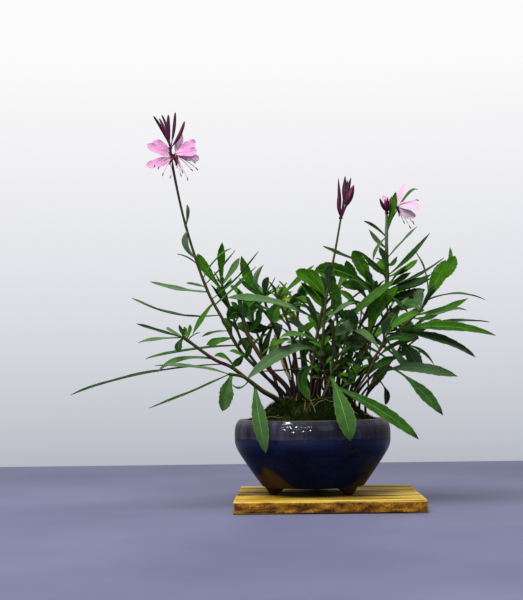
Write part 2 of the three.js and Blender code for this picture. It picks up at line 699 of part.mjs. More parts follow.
function footOf(azimuth) {
  const rise = BOWL_UNDERSIDE + FOOT_SINK - BOARD_THICK;
  const foot = new THREE.CylinderGeometry(FOOT_ROOT, FOOT_SOLE, rise, FOOT_SIDES);
  reshape(foot, (corner) => corner.setX(corner.x - (corner.y > 0 ? FOOT_DRAW_IN : 0)));
  foot.rotateX(Math.PI / 2);
  foot.translate(FOOT_RING, 0, BOARD_THICK + rise / 2);
  foot.rotateZ(THREE.MathUtils.degToRad(azimuth));
  return solidOf(foot);
}

function bowlOf() {
  const bowl = turned([
    [DRAIN_RADIUS, BOWL_UNDERSIDE],
    ...bowlCurve(BOWL_SIDE, BOWL_SIDE_STEPS),
    [BOWL_RADIUS - BOWL_RIM_CREST, BOWL_RIM_TOP],
    ...bowlCurve(BOWL_INSIDE, BOWL_INSIDE_STEPS),
    [DRAIN_RADIUS, BOWL_FLOOR_TOP],
    [DRAIN_RADIUS, BOWL_UNDERSIDE],
  ], BOWL_SIDES);
  return joined([bowl, ...FOOT_AZIMUTHS.map(footOf)]);
}

function soilOf(stemRoom) {
  const side = bowlCurve(BOWL_INSIDE, BOWL_INSIDE_STEPS)
    .filter(([, height]) => height < SOIL_TOP)
    .map(([radius, height]) => [radius - SOIL_GAP, height])
    .reverse();
  const outline = [[0, BOWL_FLOOR_TOP], ...side, [SOIL_TOP_RADIUS, SOIL_TOP], [0, SOIL_TOP]];
  return turned(outline, SOIL_SIDES).subtract(stemRoom);
}

// The moss swells into low cushions that run round the mound.
function mossOf(stemRoom) {
  const mound = turned([[0, SOIL_TOP], ...MOSS_SIDE, [0, MOSS_TOP]], MOSS_SIDES).getMesh();
  const swell = new THREE.BufferGeometry();
  swell.setAttribute("position", new THREE.BufferAttribute(new Float32Array(mound.vertProperties), 3));
  swell.setIndex(new THREE.BufferAttribute(new Uint32Array(mound.triVerts), 1));
  reshape(swell, (corner) => {
    const turn = Math.atan2(corner.y, corner.x);
    const radius = Math.hypot(corner.x, corner.y);
    if (radius > MOSS_FIRM_RADIUS || corner.z < SOIL_TOP + 0.1) return corner;
    const round = Math.sin(CUSHIONS_ROUND * turn + radius * CUSHION_TWIST);
    corner.z += CUSHION_HEIGHT * round * Math.sin(radius * CUSHION_RATE);
    return corner;
  });
  return solidOf(swell).subtract(stemRoom);
}

const part = new THREE.Group();
for (const shoot of SHOOTS) shoot.curve = stemCurve(shoot);
const shootNamed = (name) => SHOOTS.find((shoot) => shoot.name === name);
const stemRoom = joined(SHOOTS.map((shoot) => stemOf(shoot, HOLE_EASE)));

part.add(meshOf("board", boardOf(), finish(0xb98a2c, 0.6)));
part.add(meshOf("bowl", bowlOf(), finish(0x161c38, 0.15)));
part.add(meshOf("soil", soilOf(stemRoom), finish(0x2e2118, 0.95)));
part.add(meshOf("moss", mossOf(stemRoom), finish(0x33451a, 0.95)));
for (const shoot of SHOOTS) {
  const colour = shoot.name === "dry_stalk" ? STALK_TAN : LEAF_GREEN;
  part.add(meshOf(shoot.name, shootOf(shoot), finish(colour, 0.5)));
}
for (const bloom of BLOOMS) {
  part.add(meshOf(bloom.name, bloomOf(bloom, shootNamed(bloom.stem)), finish(PETAL_PINK, 0.6)));
}
for (const head of BUD_HEADS) {
  part.add(meshOf(head.name, budHeadOf(head, shootNamed(head.stem)), finish(BUD_MAROON, 0.5)));
}

export default part;
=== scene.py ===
import contextlib
import math
import random
from functools import partial

import bpy
import numpy as np
from mathutils import Matrix, Vector, noise


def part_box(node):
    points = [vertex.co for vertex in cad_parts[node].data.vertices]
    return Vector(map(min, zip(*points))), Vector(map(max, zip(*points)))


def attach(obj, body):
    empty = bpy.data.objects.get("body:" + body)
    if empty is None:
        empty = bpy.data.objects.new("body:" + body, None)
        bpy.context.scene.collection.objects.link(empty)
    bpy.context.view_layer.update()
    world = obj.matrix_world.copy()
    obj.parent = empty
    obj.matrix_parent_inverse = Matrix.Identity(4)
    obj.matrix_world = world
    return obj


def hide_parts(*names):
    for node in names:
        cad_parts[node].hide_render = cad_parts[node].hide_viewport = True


# Potted gaura in a footed bowl, on a small wooden display board.
# The tables below are in millimetres, as the solids are; MM turns them into metres.

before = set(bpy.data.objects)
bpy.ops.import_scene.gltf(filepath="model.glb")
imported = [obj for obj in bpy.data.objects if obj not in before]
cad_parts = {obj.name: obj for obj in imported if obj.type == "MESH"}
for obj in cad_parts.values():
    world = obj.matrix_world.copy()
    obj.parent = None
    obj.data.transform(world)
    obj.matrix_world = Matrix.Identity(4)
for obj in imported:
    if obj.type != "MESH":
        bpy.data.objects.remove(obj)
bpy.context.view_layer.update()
bpy.ops.object.select_all(action="DESELECT")

MM = 0.001

# The board: its cut corners, the two dark knots in its front side, how far it stands to the right
BOARD_LOW, BOARD_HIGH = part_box("board")
BOARD_SIDE = 105
BOARD_THICK = (BOARD_HIGH.z - BOARD_LOW.z) / MM
BOARD_BEVEL = 0.7
BOARD_CORNER = 2.2
BOARD_CUTS = (((0, 1, 0), 140), ((1, 0, 0), 90))
BOARD_LEVELS = (1.6, 2.6, 3.6, 4.6)
BOARD_SKIN_DEPTH = 0.05
BOARD_KNOTS = [(50.6, 3.2), (48.3, 2.8)]
BOARD_SHIFT = 8.3
BOARD_TURN = -1.5
GRAIN_DEPTH = 0.35
WORN_EDGE = 1.5

# The bowl: steps in from its radius and heights, outside and inside
BOWL_LOW, BOWL_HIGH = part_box("bowl")
BOWL_RADIUS = (BOWL_HIGH.x - BOWL_LOW.x) / MM / 2
BOWL_RIM_TOP = BOWL_HIGH.z / MM
BOWL_UNDERSIDE = 11.1
BOWL_FLOOR_TOP = 15.5
BOWL_SIDE = [(15.6, BOWL_UNDERSIDE), (8.4, 21.2), (1.2, 32.6), (0, 39.6), (0.6, 45.7), (2.5, 48.8)]
BOWL_INSIDE = [(5.2, 48), (3.6, 40), (6.2, 31), (13.6, 20.5), (18.6, BOWL_FLOOR_TOP)]
BOWL_RIM_CREST = 3.8
DRAIN_RADIUS = 5
BOWL_STEPS_OUTSIDE = 40
BOWL_STEPS_INSIDE = 20
BOWL_SPIN_STEPS = 144

# The feet: their outer and inner faces at the sole, how far the inner one slants in on its way up, half the
# width and how it spreads, and how far the top of the outer face stays inside the bowl's side
FOOT_AZIMUTHS = (-158, -38, 82)
FOOT_TOP = 17
FOOT_TOE = 26.8
FOOT_HEEL = 22.8
FOOT_HEEL_SLANT = 13
FOOT_HALF_WIDTH = 2.3
FOOT_SPREAD = 9.4
FOOT_SPREAD_END = 0.6
FOOT_INSET = 0.6

# Where the glaze shows brown: azimuth, how far it spreads round, how high it reaches above the underside
BROWN_PATCHES = [(-137, 18, 13), (-158, 14, 8), (-34, 18, 6), (-14, 20, 11), (82, 24, 6), (150, 20, 4)]
BROWN_SOFTNESS = 6
# Heights in metres between which the shoulder takes its painted reflection of the room as a greyer band, the lip turns
# brown, and the glaze grows smoother and shinier
SHOULDER_REFLECTION_BAND = (0.0388, 0.0395)
GLAZE_LIP = (0.0483, 0.0490)
GLAZE_SMOOTHER = (0.025, 0.038)
GLAZE_SHINIER = (0.030, 0.039)

# Soil and moss
SOIL_TOP = 45.5
STEM_FOOT = 41
MOSS_SIDE = [(38.6, SOIL_TOP), (38, 47.4), (33, 49.6), (28.5, 53), (23.5, 57.2), (16, 59.6), (8, 60.4), (0, 60.4)]
MOSS_FIRM_RADIUS = 35
MOSS_RADIUS = 38.5
MOSS_REACH = 38.9
MOSS_PATCHES = 340
PATCH_RADIUS = 3.2
PATCH_THREADS = 36
STRAWS = 30
STRAW_REACH = 38
STRAW_RADIUS = 0.09

# Rules that the leaves, petals and stems share. A spray is free leaves along a stem and a tuft is young ones at
# its top; both go round by the golden angle, shrink and rise towards the top
ROOT_DEPTH = 0.7
KEEL = 0.18
GOLDEN_ANGLE = 137.5
SPRAY_LIFT = 30
SPRAY_SHRINK = 0.45
SPRAY_TURN = 25
TUFT_RISE = 35
TUFT_LIFT = 40
TUFT_SHRINK = 0.4
TUFT_STEP = 0.012
TUFT_WIDTH = 2.6
LEAF_BOW = 0.06
LEAF_DROOP = 0.1
WIDE_LEAF = 4.5
STEM_FULLNESS = 0.92
JOINT_SPREAD = 0.012
JOINT_SWELL = 0.14

# Open flowers and buds: half the height and the width of their cores, anthers and sepals
BLOOM_CORE = (1, 1.6)
BUD_CORE = (1.1, 2.2)
ANTHER_HALF = 1.15
ANTHER_WIDTH = 0.62
SEPAL_OUT = 2
SEPAL_WIDTH = 1.5
SEPAL_DROP = (5.5, 7.5)

# The thicket: where the side shoots carry leaves from left to right, and where the stubs stand
TWIG_LEAF_BAND = (0, 20)
TWIG_LEAVES = 5
TWIG_LEAF_TURN = 35
STUBS = 30
STUB_X = (-14, 21)
STUB_Y = (-4, 16)
STUB_TOP = (66, 78)

# The eye that the places of stems, leaves and petals were taken from
EYE = Vector((-28.5, -706, 69))
EYE_PITCH = 4
EYE_ROLL = 0.7
EYE_LENS = 72.84

# The table top, in metres: its width, its near edge, how far it goes back, how far under the board it lies
TABLE_WIDTH = 5
TABLE_NEAR = -2.2
TABLE_DEPTH = 2.568
TABLE_DROP = 0.0002

# Leafy shoots. A place is (x, y, z): x and z as they show in the plane of the bowl's axis, y the depth.
# leaves: part of the stem, middle of the leaf, tip, width, degrees the blade turns to the front, looks.
# spray: count, from, to, length, width, first azimuth, rise. tuft: count, length, first azimuth.
SHOOTS = [
    {
        "name": "left_flower_stem", "girth": (1.2, 0.6), "red": 0.35,
        "spray": (3, 0.14, 0.3, 24, 5, 210, 35),
        "route": [
            (-14.5, 2, 61), (-28.5, 2, 75.5), (-41.5, 0, 89.5), (-51, -3, 107), (-59, -4, 122),
            (-66.5, -5, 142.5), (-74, -5, 169), (-80, -5, 199), (-81, -5, 207.5),
        ],
        "leaves": [
            (0.27, (-71, 0.5, 90), (-96.5, 1.5, 85), 6.5, 15, ""),
            (0.3, (-54, -4, 95), (-61, -5, 92.5), 4, 65, ""),
            (0.33, (-56.5, -3, 100), (-63.5, -3, 97.5), 2, 40, "grey brown"),
            (0.23, (-42, -0.5, 83), (-46.5, -2.5, 80), 4, 65, "deep"),
            (0.63, (-72.5, -8, 151), (-71.5, -9, 159.5), 3.5, -45, "pale"),
            (0.72, (-71, -8, 169.5), (-71.5, -9, 175), 2, 10, "grey"),
            (0.61, (-71.5, -2, 144), (-77.5, 0, 146), 2, 10, "brown"),
            (0.51, (-76, -7, 125.5), (-93.5, -9, 130), 4, 35, "grey"),
            (0.4, (-78.5, -5.5, 111), (-104, -7.5, 120.5), 6.5, 5, "grey brown"),
            (0.46, (-62.5, -6.5, 109.5), (-69, -7.5, 98.5), 3, 55, ""),
            (0.53, (-67, -1, 128), (-72.5, 2, 129), 2, 40, "brown"),
            (0.56, (-55.5, -6.5, 142), (-46, -7.5, 149), 3, 25, ""),
            (0.54, (-52, -5.5, 137.5), (-43.5, -5.5, 148), 3, 20, "brown"),
            (0.48, (-44, -4, 130.5), (-30, -4, 147), 4.5, 10, "grey brown"),
            (0.45, (-44, -6.5, 126), (-31.5, -8.5, 138), 4, 30, "brown"),
        ],
    },
    {
        "name": "middle_flower_stem", "girth": (1.1, 0.6), "red": 0.3,
        "spray": (3, 0.3, 0.55, 24, 5, 0, 40),
        "route": [
            (3.5, -8, 65), (6.5, -9, 91.5), (8.5, -10, 113.5), (11, -10, 128.5), (15, -10, 147),
            (18.5, -9, 165.5),
        ],
        "leaves": [
            (0.47, (0.5, -13, 129.5), (-8.5, -14, 135), 8, 60, "fresh"),
            (0.38, (2.5, -12, 119.5), (-5.5, -13, 128.5), 5, 55, ""),
        ],
    },
    {
        "name": "right_flower_stem", "girth": (1.2, 0.6), "red": 0.25,
        "spray": (5, 0.3, 0.6, 28, 6, 50, 35),
        "route": [
            (19, 4, 62.5), (29.5, 4, 88.5), (39.5, 4, 111.5), (44.5, 3, 126), (45, 3, 139.5), (45, 2, 152),
            (45.5, 1, 168),
        ],
        "leaves": [
            (0.6, (20, -2, 144), (8, -6, 149.5), 5, 30, "deep"),
            (0.56, (38, -3, 137), (29.5, -6, 146), 4.5, 70, "deep"),
            (0.23, (37.5, 0, 111), (44.5, -2, 122.5), 8, 90, "fresh"),
            (0.2, (27.5, 2, 91), (22, 2, 90.5), 4, 65, "grey"),
            (0.5, (60.5, 6, 130.5), (78.5, 9, 142), 5, 15, "deep brown"),
            (0.57, (57.5, 5, 142), (70.5, 6, 156.5), 4.5, 30, "brown"),
            (0.7, (54, 0, 151.5), (63, -2, 160.5), 3, 30, "grey"),
            (0.56, (55, -1, 135), (63, -3, 141), 4.5, 55, "fresh"),
            (0.47, (58, 0, 126), (71, -1, 132.5), 3.5, 60, "deep"),
            (0.41, (54.5, 3.5, 119), (67, 3.5, 123.5), 7, 75, "deep"),
            (0.88, (49, -1, 171), (51, -2, 181), 5.5, 72, "fresh deep brown"),
            (0.91, (57, 12, 178.5), (64, 15, 182), 1.5, 45, "grey deep"),
            (0.86, (38.5, 1, 160.5), (32, 1, 164), 2, 65, "deep"),
            (0.78, (39.5, 3.5, 152.5), (35, 4.5, 159), 3, 55, "grey"),
            (0.86, (39.5, 0, 148.5), (37, -1, 141), 2, 50, "grey"),
            (0.65, (41.5, 5, 141), (38.5, 6, 142), 2, 20, ""),
        ],
    },
    {
        "name": "low_left_shoot", "girth": (1.1, 0.8), "red": 0.75,
        "tuft": (3, 9, 0),
        "route": [
            (-19.5, -8, 58), (-29, -10, 65.5), (-37.5, -12, 72.5), (-46.5, -14, 79.5), (-57, -15, 84.5),
            (-74, -18, 97),
        ],
        "leaves": [
            (1, (-89, -19, 101.5), (-101.5, -18, 105.5), 3.5, 30, "deep"),
            (1, (-89, -22, 96.5), (-100.5, -26, 94.5), 3, 30, "grey"),
            (1, (-81, -15, 101), (-84, -11, 103), 2, 40, "grey"),
            (1, (-77, -22, 92.5), (-76, -24, 88.5), 4, 15, "deep"),
            (1, (-75.5, -20, 101), (-76.5, -23, 104.5), 2, 0, "fresh"),
            (0.99, (-72.5, -15, 100), (-74, -13, 103.5), 2, 40, "fresh"),
            (0.98, (-70.5, -16.5, 101), (-70.5, -15.5, 104.5), 2, 40, ""),
            (0.8, (-76.5, -18, 84.5), (-89.5, -20, 77), 3.5, 45, "grey"),
            (0.69, (-98.5, -17.5, 76.5), (-140, -24.5, 64.5), 6, 3, "deep"),
            (0.54, (-50, -16.5, 85.5), (-56.5, -18.5, 86), 3, 55, ""),
            (0.29, (-31, -35, 52), (-27, -43, 29.5), 7.5, 0, "grey deep"),
        ],
    },
    {
        "name": "left_front_shoot", "girth": (1, 0.8), "red": 0.5,
        "route": [(-16, -13, 57), (-28.5, -14, 66), (-39, -17, 73.5), (-48, -20, 75.5)],
        "leaves": [
            (1, (-67, -22, 80), (-91, -25, 81), 5, 20, "grey"),
            (1, (-70.5, -24, 65.5), (-94.5, -29, 56.5), 4.5, 10, "deep brown"),
            (0.94, (-49.5, -25.5, 65), (-52, -28.5, 54), 9, 65, "fresh pale"),
        ],
    },
    {
        "name": "left_inner_shoot", "girth": (1.1, 0.7), "red": 0.4,
        "spray": (4, 0.4, 0.8, 24, 5, 100, 35), "tuft": (3, 8, 0),
        "route": [(-16.5, 8, 60), (-28.5, 8, 76.5), (-39.5, 7, 92.5), (-46, 6, 111.5), (-51.5, 4, 127.5)],
        "leaves": [
            (0.74, (-50.5, 8, 118), (-58, 10, 128), 2.5, 45, "deep"),
            (0.92, (-60.5, 6.5, 136.5), (-65.5, 8.5, 146), 5.2, 55, "fresh"),
            (1, (-52, 5, 141), (-51, 6, 152.5), 5.4, 55, "fresh"),
            (1, (-45.5, 9, 136), (-41, 12, 143.5), 3.5, 50, "grey"),
            (0.97, (-48, 5, 128), (-46, 6, 131.5), 2, 40, "fresh"),
            (1, (-53.5, 4, 131), (-56, 4, 135.5), 2, 10, ""),
        ],
    },
    {
        "name": "red_left_shoot", "girth": (1.4, 0.9), "red": 1,
        "spray": (3, 0.45, 0.9, 22, 5, 340, 30), "tuft": (3, 10, 0),
        "route": [(-12.5, -4, 63.5), (-24, -4, 77.5), (-31, -4, 88), (-37, -3, 99), (-39.5, -2, 108)],
        "leaves": [
            (0.93, (-43, -5.5, 111.5), (-48.5, -7.5, 107), 7.5, 70, "deep"),
            (1, (-37.5, 0, 112.5), (-39.5, 1, 117.5), 3, -15, ""),
            (0.75, (-32, -5, 104.5), (-28.5, -7, 110), 3.5, 90, "deep"),
        ],
    },
    {
        "name": "left_mid_shoot", "girth": (1.1, 0.8), "red": 0.6,
        "spray": (5, 0.4, 0.9, 24, 5, 90, 35), "tuft": (4, 10, 0),
        "route": [(-11, 12, 63), (-15.5, 12, 83.5), (-21, 12, 101), (-26, 11, 115.5), (-27, 10, 121.5)],
        "leaves": [
            (0.97, (-35, 10, 129.5), (-40, 10, 144.5), 6, 60, ""),
            (0.91, (-35, 7.5, 125), (-41.5, 6.5, 131.5), 3.5, 60, "deep"),
            (1, (-32, 8, 129.5), (-27, 7, 139), 3, 10, "grey"),
            (0.52, (-31.5, 14, 102), (-40.5, 14, 104.5), 7, 60, "deep"),
            (1, (-21, 8, 123.5), (-18, 7, 127.5), 3, 40, "deep"),
            (1, (-23.5, 10, 126), (-20.5, 10, 131.5), 2, 20, "fresh brown"),
        ],
    },
    {
        "name": "inner_shoot", "girth": (1.1, 0.8), "red": 0.7,
        "spray": (5, 0.4, 0.9, 24, 5, 30, 35), "tuft": (5, 11, 20),
        "route": [(-7, 4, 63.5), (-9, 4, 83), (-12, 4, 100.5), (-16.5, 3, 113.5), (-19, 3, 119)],
        "leaves": [
            (1, (-8, 6, 129), (2.5, 7, 138.5), 3.5, 45, ""),
            (0.92, (-12, 0, 118.5), (-6.5, -2, 117.5), 4, 65, "fresh"),
            (1, (-16.5, 1, 124), (-13.5, 0, 128.5), 2, 60, "fresh"),
            (0.68, (-6, 1.5, 118), (-0.5, 1.5, 115.5), 5, 55, ""),
        ],
    },
    {
        "name": "centre_shoot", "girth": (1.1, 0.8), "red": 0.6,
        "spray": (5, 0.45, 0.95, 26, 5.5, 70, 40), "tuft": (4, 12, 0),
        "route": [(-0.5, -3, 64.5), (2, -2, 89), (6, 0, 109), (8.5, 2, 119.5)],
        "leaves": [
            (0.59, (-20, -7.5, 117), (-48.5, -9.5, 120), 7, 35, "grey"),
            (0.33, (-15, -9, 88.5), (-38, -17, 72), 6.5, 65, "grey"),
            (0.2, (-5.5, -14, 72), (-1.5, -20, 59.5), 9.5, 60, "deep"),
        ],
    },
    {
        "name": "centre_back_shoot", "girth": (1.1, 0.8), "red": 0.5,
        "spray": (5, 0.4, 0.95, 24, 5.5, 310, 40), "tuft": (4, 11, 0),
        "route": [(7.5, 7, 64), (14, 7, 88.5), (20, 7, 106)],
        "leaves": [
            (0.96, (32.5, -2, 116.5), (49.5, -7, 129), 5.6, 70, ""),
            (1, (15, 7, 118.5), (13.5, 7, 129.5), 7, 55, ""),
        ],
    },
    {
        "name": "right_inner_shoot", "girth": (1.1, 0.8), "red": 0.5,
        "spray": (6, 0.4, 0.95, 28, 6, 260, 38), "tuft": (3, 10, 0),
        "route": [(13.5, 11, 64), (24, 11, 91.5), (32.5, 11, 110.5), (38, 10, 123)],
        "leaves": [
            (1, (30, 8, 137.5), (25, 6, 146.5), 9.5, 70, "fresh"),
            (0.99, (26, 5, 126), (18.5, 2, 126.5), 6, 60, "fresh brown"),
            (1, (17, 12, 135), (2.5, 10, 134), 8, 65, "deep"),
            (0.8, (25.5, 13.5, 130), (21.5, 14.5, 141), 6.5, 55, "deep"),
            (0.56, (23, 1, 103.5), (14, -3, 97), 6, 55, "pale"),
        ],
    },
    {
        "name": "red_right_shoot", "girth": (1.1, 0.7), "red": 1,
        "spray": (3, 0.35, 0.6, 26, 5.5, 40, 35),
        "route": [
            (23.5, -4, 62), (40, -5, 88.5), (55, -6, 103), (64.5, -7, 112), (71.5, -8, 123), (76, -9, 129),
        ],
        "leaves": [
            (0.66, (74, -10.5, 129), (79.5, -12.5, 140.5), 8, 90, "fresh"),
            (0.91, (80.5, -6.5, 134.5), (85, -5.5, 143), 6.5, 65, "fresh"),
            (1, (81.5, -3, 138), (82, 0, 148), 3, 0, "fresh"),
            (0.69, (85, -7.5, 121), (102, -9.5, 117), 4, 10, "grey brown"),
            (0.52, (79, -9.5, 112.5), (92, -11.5, 118), 4, 50, ""),
            (0.71, (67.5, -6.5, 133.5), (61.5, -6.5, 146), 3.5, 5, "brown"),
            (0.6, (63.5, -5, 119), (62.5, -4, 123.5), 7, 75, "grey"),
            (0.48, (66.5, -9.5, 106.5), (74, -11.5, 108.5), 2.5, 70, "deep brown"),
        ],
    },
    {
        "name": "right_front_shoot", "girth": (1.1, 0.8), "red": 0.5,
        "spray": (4, 0.5, 0.95, 26, 5.5, 0, 30), "tuft": (3, 9, 0),
        "route": [(23.5, -13, 60), (33, -14, 75.5), (40, -16, 89.5), (45, -17, 99)],
        "leaves": [
            (1, (76.5, -20, 102), (107.5, -24, 96), 8, 40, "deep brown"),
            (0.95, (72, -18, 95.5), (95.5, -20, 83.5), 6.5, 45, "deep brown"),
        ],
    },
    {
        "name": "low_right_shoot", "girth": (1.1, 0.8), "red": 0.5,
        "route": [(28, -8, 60), (37, -10, 71), (45.5, -12, 78.5)],
        "leaves": [
            (1, (59.5, -17, 68.5), (76, -21, 50), 6.5, 65, "deep brown stalked"),
            (0.8, (60, -12, 78), (85, -14, 72.5), 6, 60, "grey"),
            (0.56, (43, -9, 64.5), (42.5, -7, 56.5), 4.5, 90, "deep stalked"),
            (0.03, (34.5, -6, 56.5), (43.5, -4, 49), 5.5, 60, "deep"),
        ],
    },
    {
        "name": "right_red_side_shoot", "girth": (1.1, 0.7), "red": 0.9,
        "spray": (4, 0.5, 0.95, 28, 6, 150, 30), "tuft": (4, 11, 30),
        "route": [(31.5, 1, 61.5), (39.5, 1, 72), (48.5, 0, 85), (52.5, 0, 91.5), (55, -1, 98.5)],
        "leaves": [
            (0.92, (73.5, 6.5, 110), (91, 8.5, 111), 5.5, 30, "grey"),
            (1, (80.5, 8, 104.5), (104, 11, 104), 6.5, 15, "grey brown"),
            (0.75, (58, -2, 86), (63, -3, 75.5), 8, 55, "grey deep"),
            (0.75, (63.5, 2, 88), (71.5, 4, 79), 3, 40, ""), (0, (38, 4, 71.5), (45.5, 5, 81), 5, 55, "deep"),
            (1, (49, 2, 107), (46, 2, 114.5), 3, 55, ""),
        ],
    },
    {
        "name": "front_shoot", "girth": (1, 0.8), "red": 0.4,
        "route": [(6, -15, 58), (9, -17, 66.5), (11.5, -18, 73)],
        "leaves": [
            (1, (18, -42, 54.5), (22, -48, 36), 9.5, 5, "grey deep"),
            (0.68, (39, -22.5, 54), (61.5, -25.5, 36.5), 7, 60, "brown"),
        ],
    },
    {
        "name": "back_left_shoot", "girth": (1.1, 0.7), "red": 0.4,
        "spray": (7, 0.35, 1, 34, 6.4, 70, 30),
        "route": [(-18, 17, 60.5), (-25, 22, 82), (-32, 28, 101), (-35.5, 33, 112.5)],
    },
    {
        "name": "back_inner_shoot", "girth": (1.1, 0.7), "red": 0.4,
        "spray": (7, 0.35, 1, 32, 6.2, 230, 38),
        "route": [(-4.5, 16, 61.5), (-5.5, 22, 86), (-7.5, 28, 107.5), (-8.5, 31, 115)],
    },
    {
        "name": "back_centre_shoot", "girth": (1.1, 0.7), "red": 0.4,
        "spray": (8, 0.4, 1, 34, 6.4, 0, 25),
        "route": [(4.5, 21, 62), (6, 32, 83), (4, 42, 100.5)],
    },
    {
        "name": "back_mid_shoot", "girth": (1.1, 0.7), "red": 0.4,
        "spray": (7, 0.35, 1, 34, 6.4, 60, 32),
        "route": [(11, 15, 61.5), (15.5, 21, 88.5), (15, 27, 115), (14, 29, 122.5)],
    },
    {
        "name": "back_right_shoot", "girth": (1.1, 0.7), "red": 0.4,
        "spray": (6, 0.35, 1, 32, 6.2, 60, 28),
        "route": [(21.5, 14, 61.5), (32, 20, 88.5), (40.5, 26, 104.5), (47.5, 29, 114.5)],
    },
    {
        "name": "back_side_shoot", "girth": (1.1, 0.7), "red": 0.4,
        "spray": (7, 0.35, 1, 34, 6.4, 30, 20),
        "route": [(25.5, 8, 61), (40, 12, 78), (53, 17, 88), (62, 22, 95)],
    },
    {
        "name": "dry_stalk", "girth": (0.9, 0.7), "red": 0.4,
        "route": [(-9, 8.5, 64.5), (-15, 9, 77), (-18.5, 9.5, 88), (-21, 10, 98)],
    },
]

# Open flowers: stem, part of it where the tube starts, heart; petals: middle, tip, width, turn; ends of stamens
BLOOMS = [
    {
        "name": "left_bloom_one", "stem": "left_flower_stem", "tube_foot": 0.96, "centre": (-79.5, -3.5, 204),
        "petals": [
            ((-88, -6, 207.5), (-95, -8, 211), 6, 70), ((-86.5, -2, 210), (-92, -1, 212), 5.5, 70),
            ((-87.5, -8, 200), (-95.5, -11, 198.5), 6, 70),
        ],
        "stamens": [
            (-90.5, -17, 198), (-88, -15, 197), (-85.5, -13, 193), (-81, -13, 191.5),
        ],
    },
    {
        "name": "left_bloom_two", "stem": "left_flower_stem", "tube_foot": 0.9, "centre": (-78.3, -6, 204.8),
        "petals": [
            ((-76.5, -3, 211), (-74, -1, 217), 5.2, 80), ((-70.5, -8, 210), (-66, -9, 211.5), 6, 70),
            ((-69.5, -11, 206), (-65.5, -13, 207), 5.5, 70), ((-69.5, -7, 203), (-64, -6, 202), 5, 80),
        ],
        "stamens": [
            (-75, -9, 192.5), (-74, -7, 194.5), (-71, -11, 190), (-68.5, -9, 195.5), (-65.5, -8, 196),
            (-67, -12, 200),
        ],
    },
    {
        "name": "right_bloom", "stem": "right_flower_stem", "tube_foot": 0.95, "centre": (51, 4, 172.5),
        "petals": [
            ((54.5, 5, 181), (59.5, 7, 186.5), 4, 45), ((58.5, 1, 173.5), (64.5, -2, 170), 5.5, 50),
            ((57, 2, 168), (62.5, 2, 167), 5.5, 85), ((46, 9, 175.5), (43.5, 11, 179), 3.6, 50),
        ],
        "stamens": [
            (55.5, 3, 163), (59, 1, 160), (61, 4, 162.5), (63.5, 1, 176),
        ],
    },
]

# Heads of closed buds: middle, tip, width, part of the length that is foot, redness
BUD_HEADS = [
    {
        "name": "left_bud_head", "foot": (-81, -5, 208.5),
        "buds": [
            ((-85.5, -7, 219), (-91, -10, 228), 1.6, 0.2, 0.15),
            ((-83.5, -3, 217.5), (-87.5, -3, 226.5), 1.6, 0.2, 0.8),
            ((-82.5, 1, 219), (-86, 4, 228.5), 1.5, 0.25, 0), ((-82, -6, 219), (-82, -7, 228.5), 2, 0.2, 0.45),
            ((-79, -1, 218.5), (-78, 2, 230), 1.8, 0.25, 0),
            ((-76, -6, 215.5), (-72.5, -5, 224.5), 2, 0.15, 0.9),
        ],
    },
    {
        "name": "middle_bud_head", "foot": (18.5, -9, 166),
        "buds": [
            ((18, -10, 175.5), (17.5, -11, 190), 2, 0.3, 0.1),
            ((17.5, -11, 173.5), (17.5, -11.5, 182), 2.2, 0.1, 0.8),
            ((20.5, -6, 178.5), (21.5, -5, 191), 2.6, 0.45, 0),
            ((21.5, -9, 177.5), (25, -9, 190), 2.4, 0.45, 0),
            ((21, -7.5, 177.5), (23, -7, 188.5), 2, 0.45, 0.1),
            ((23.3, -12, 177), (26.5, -13, 185.5), 3.7, 0.3, 0.9),
        ],
    },
    {
        "name": "right_bud_head", "foot": (45.5, 1, 168.5),
        "buds": [
            ((43, -1, 173.5), (41.5, -2, 177.5), 1.9, 0.1, 0.3),
            ((45, 3, 173.5), (44.5, 4, 177), 1.9, 0.1, 0.7), ((46, -2, 173.5), (46, -3, 178), 1.9, 0.1, 0.6),
            ((47.5, 1, 174), (48.5, 2, 178.5), 2.4, 0.1, 1),
        ],
    },
]
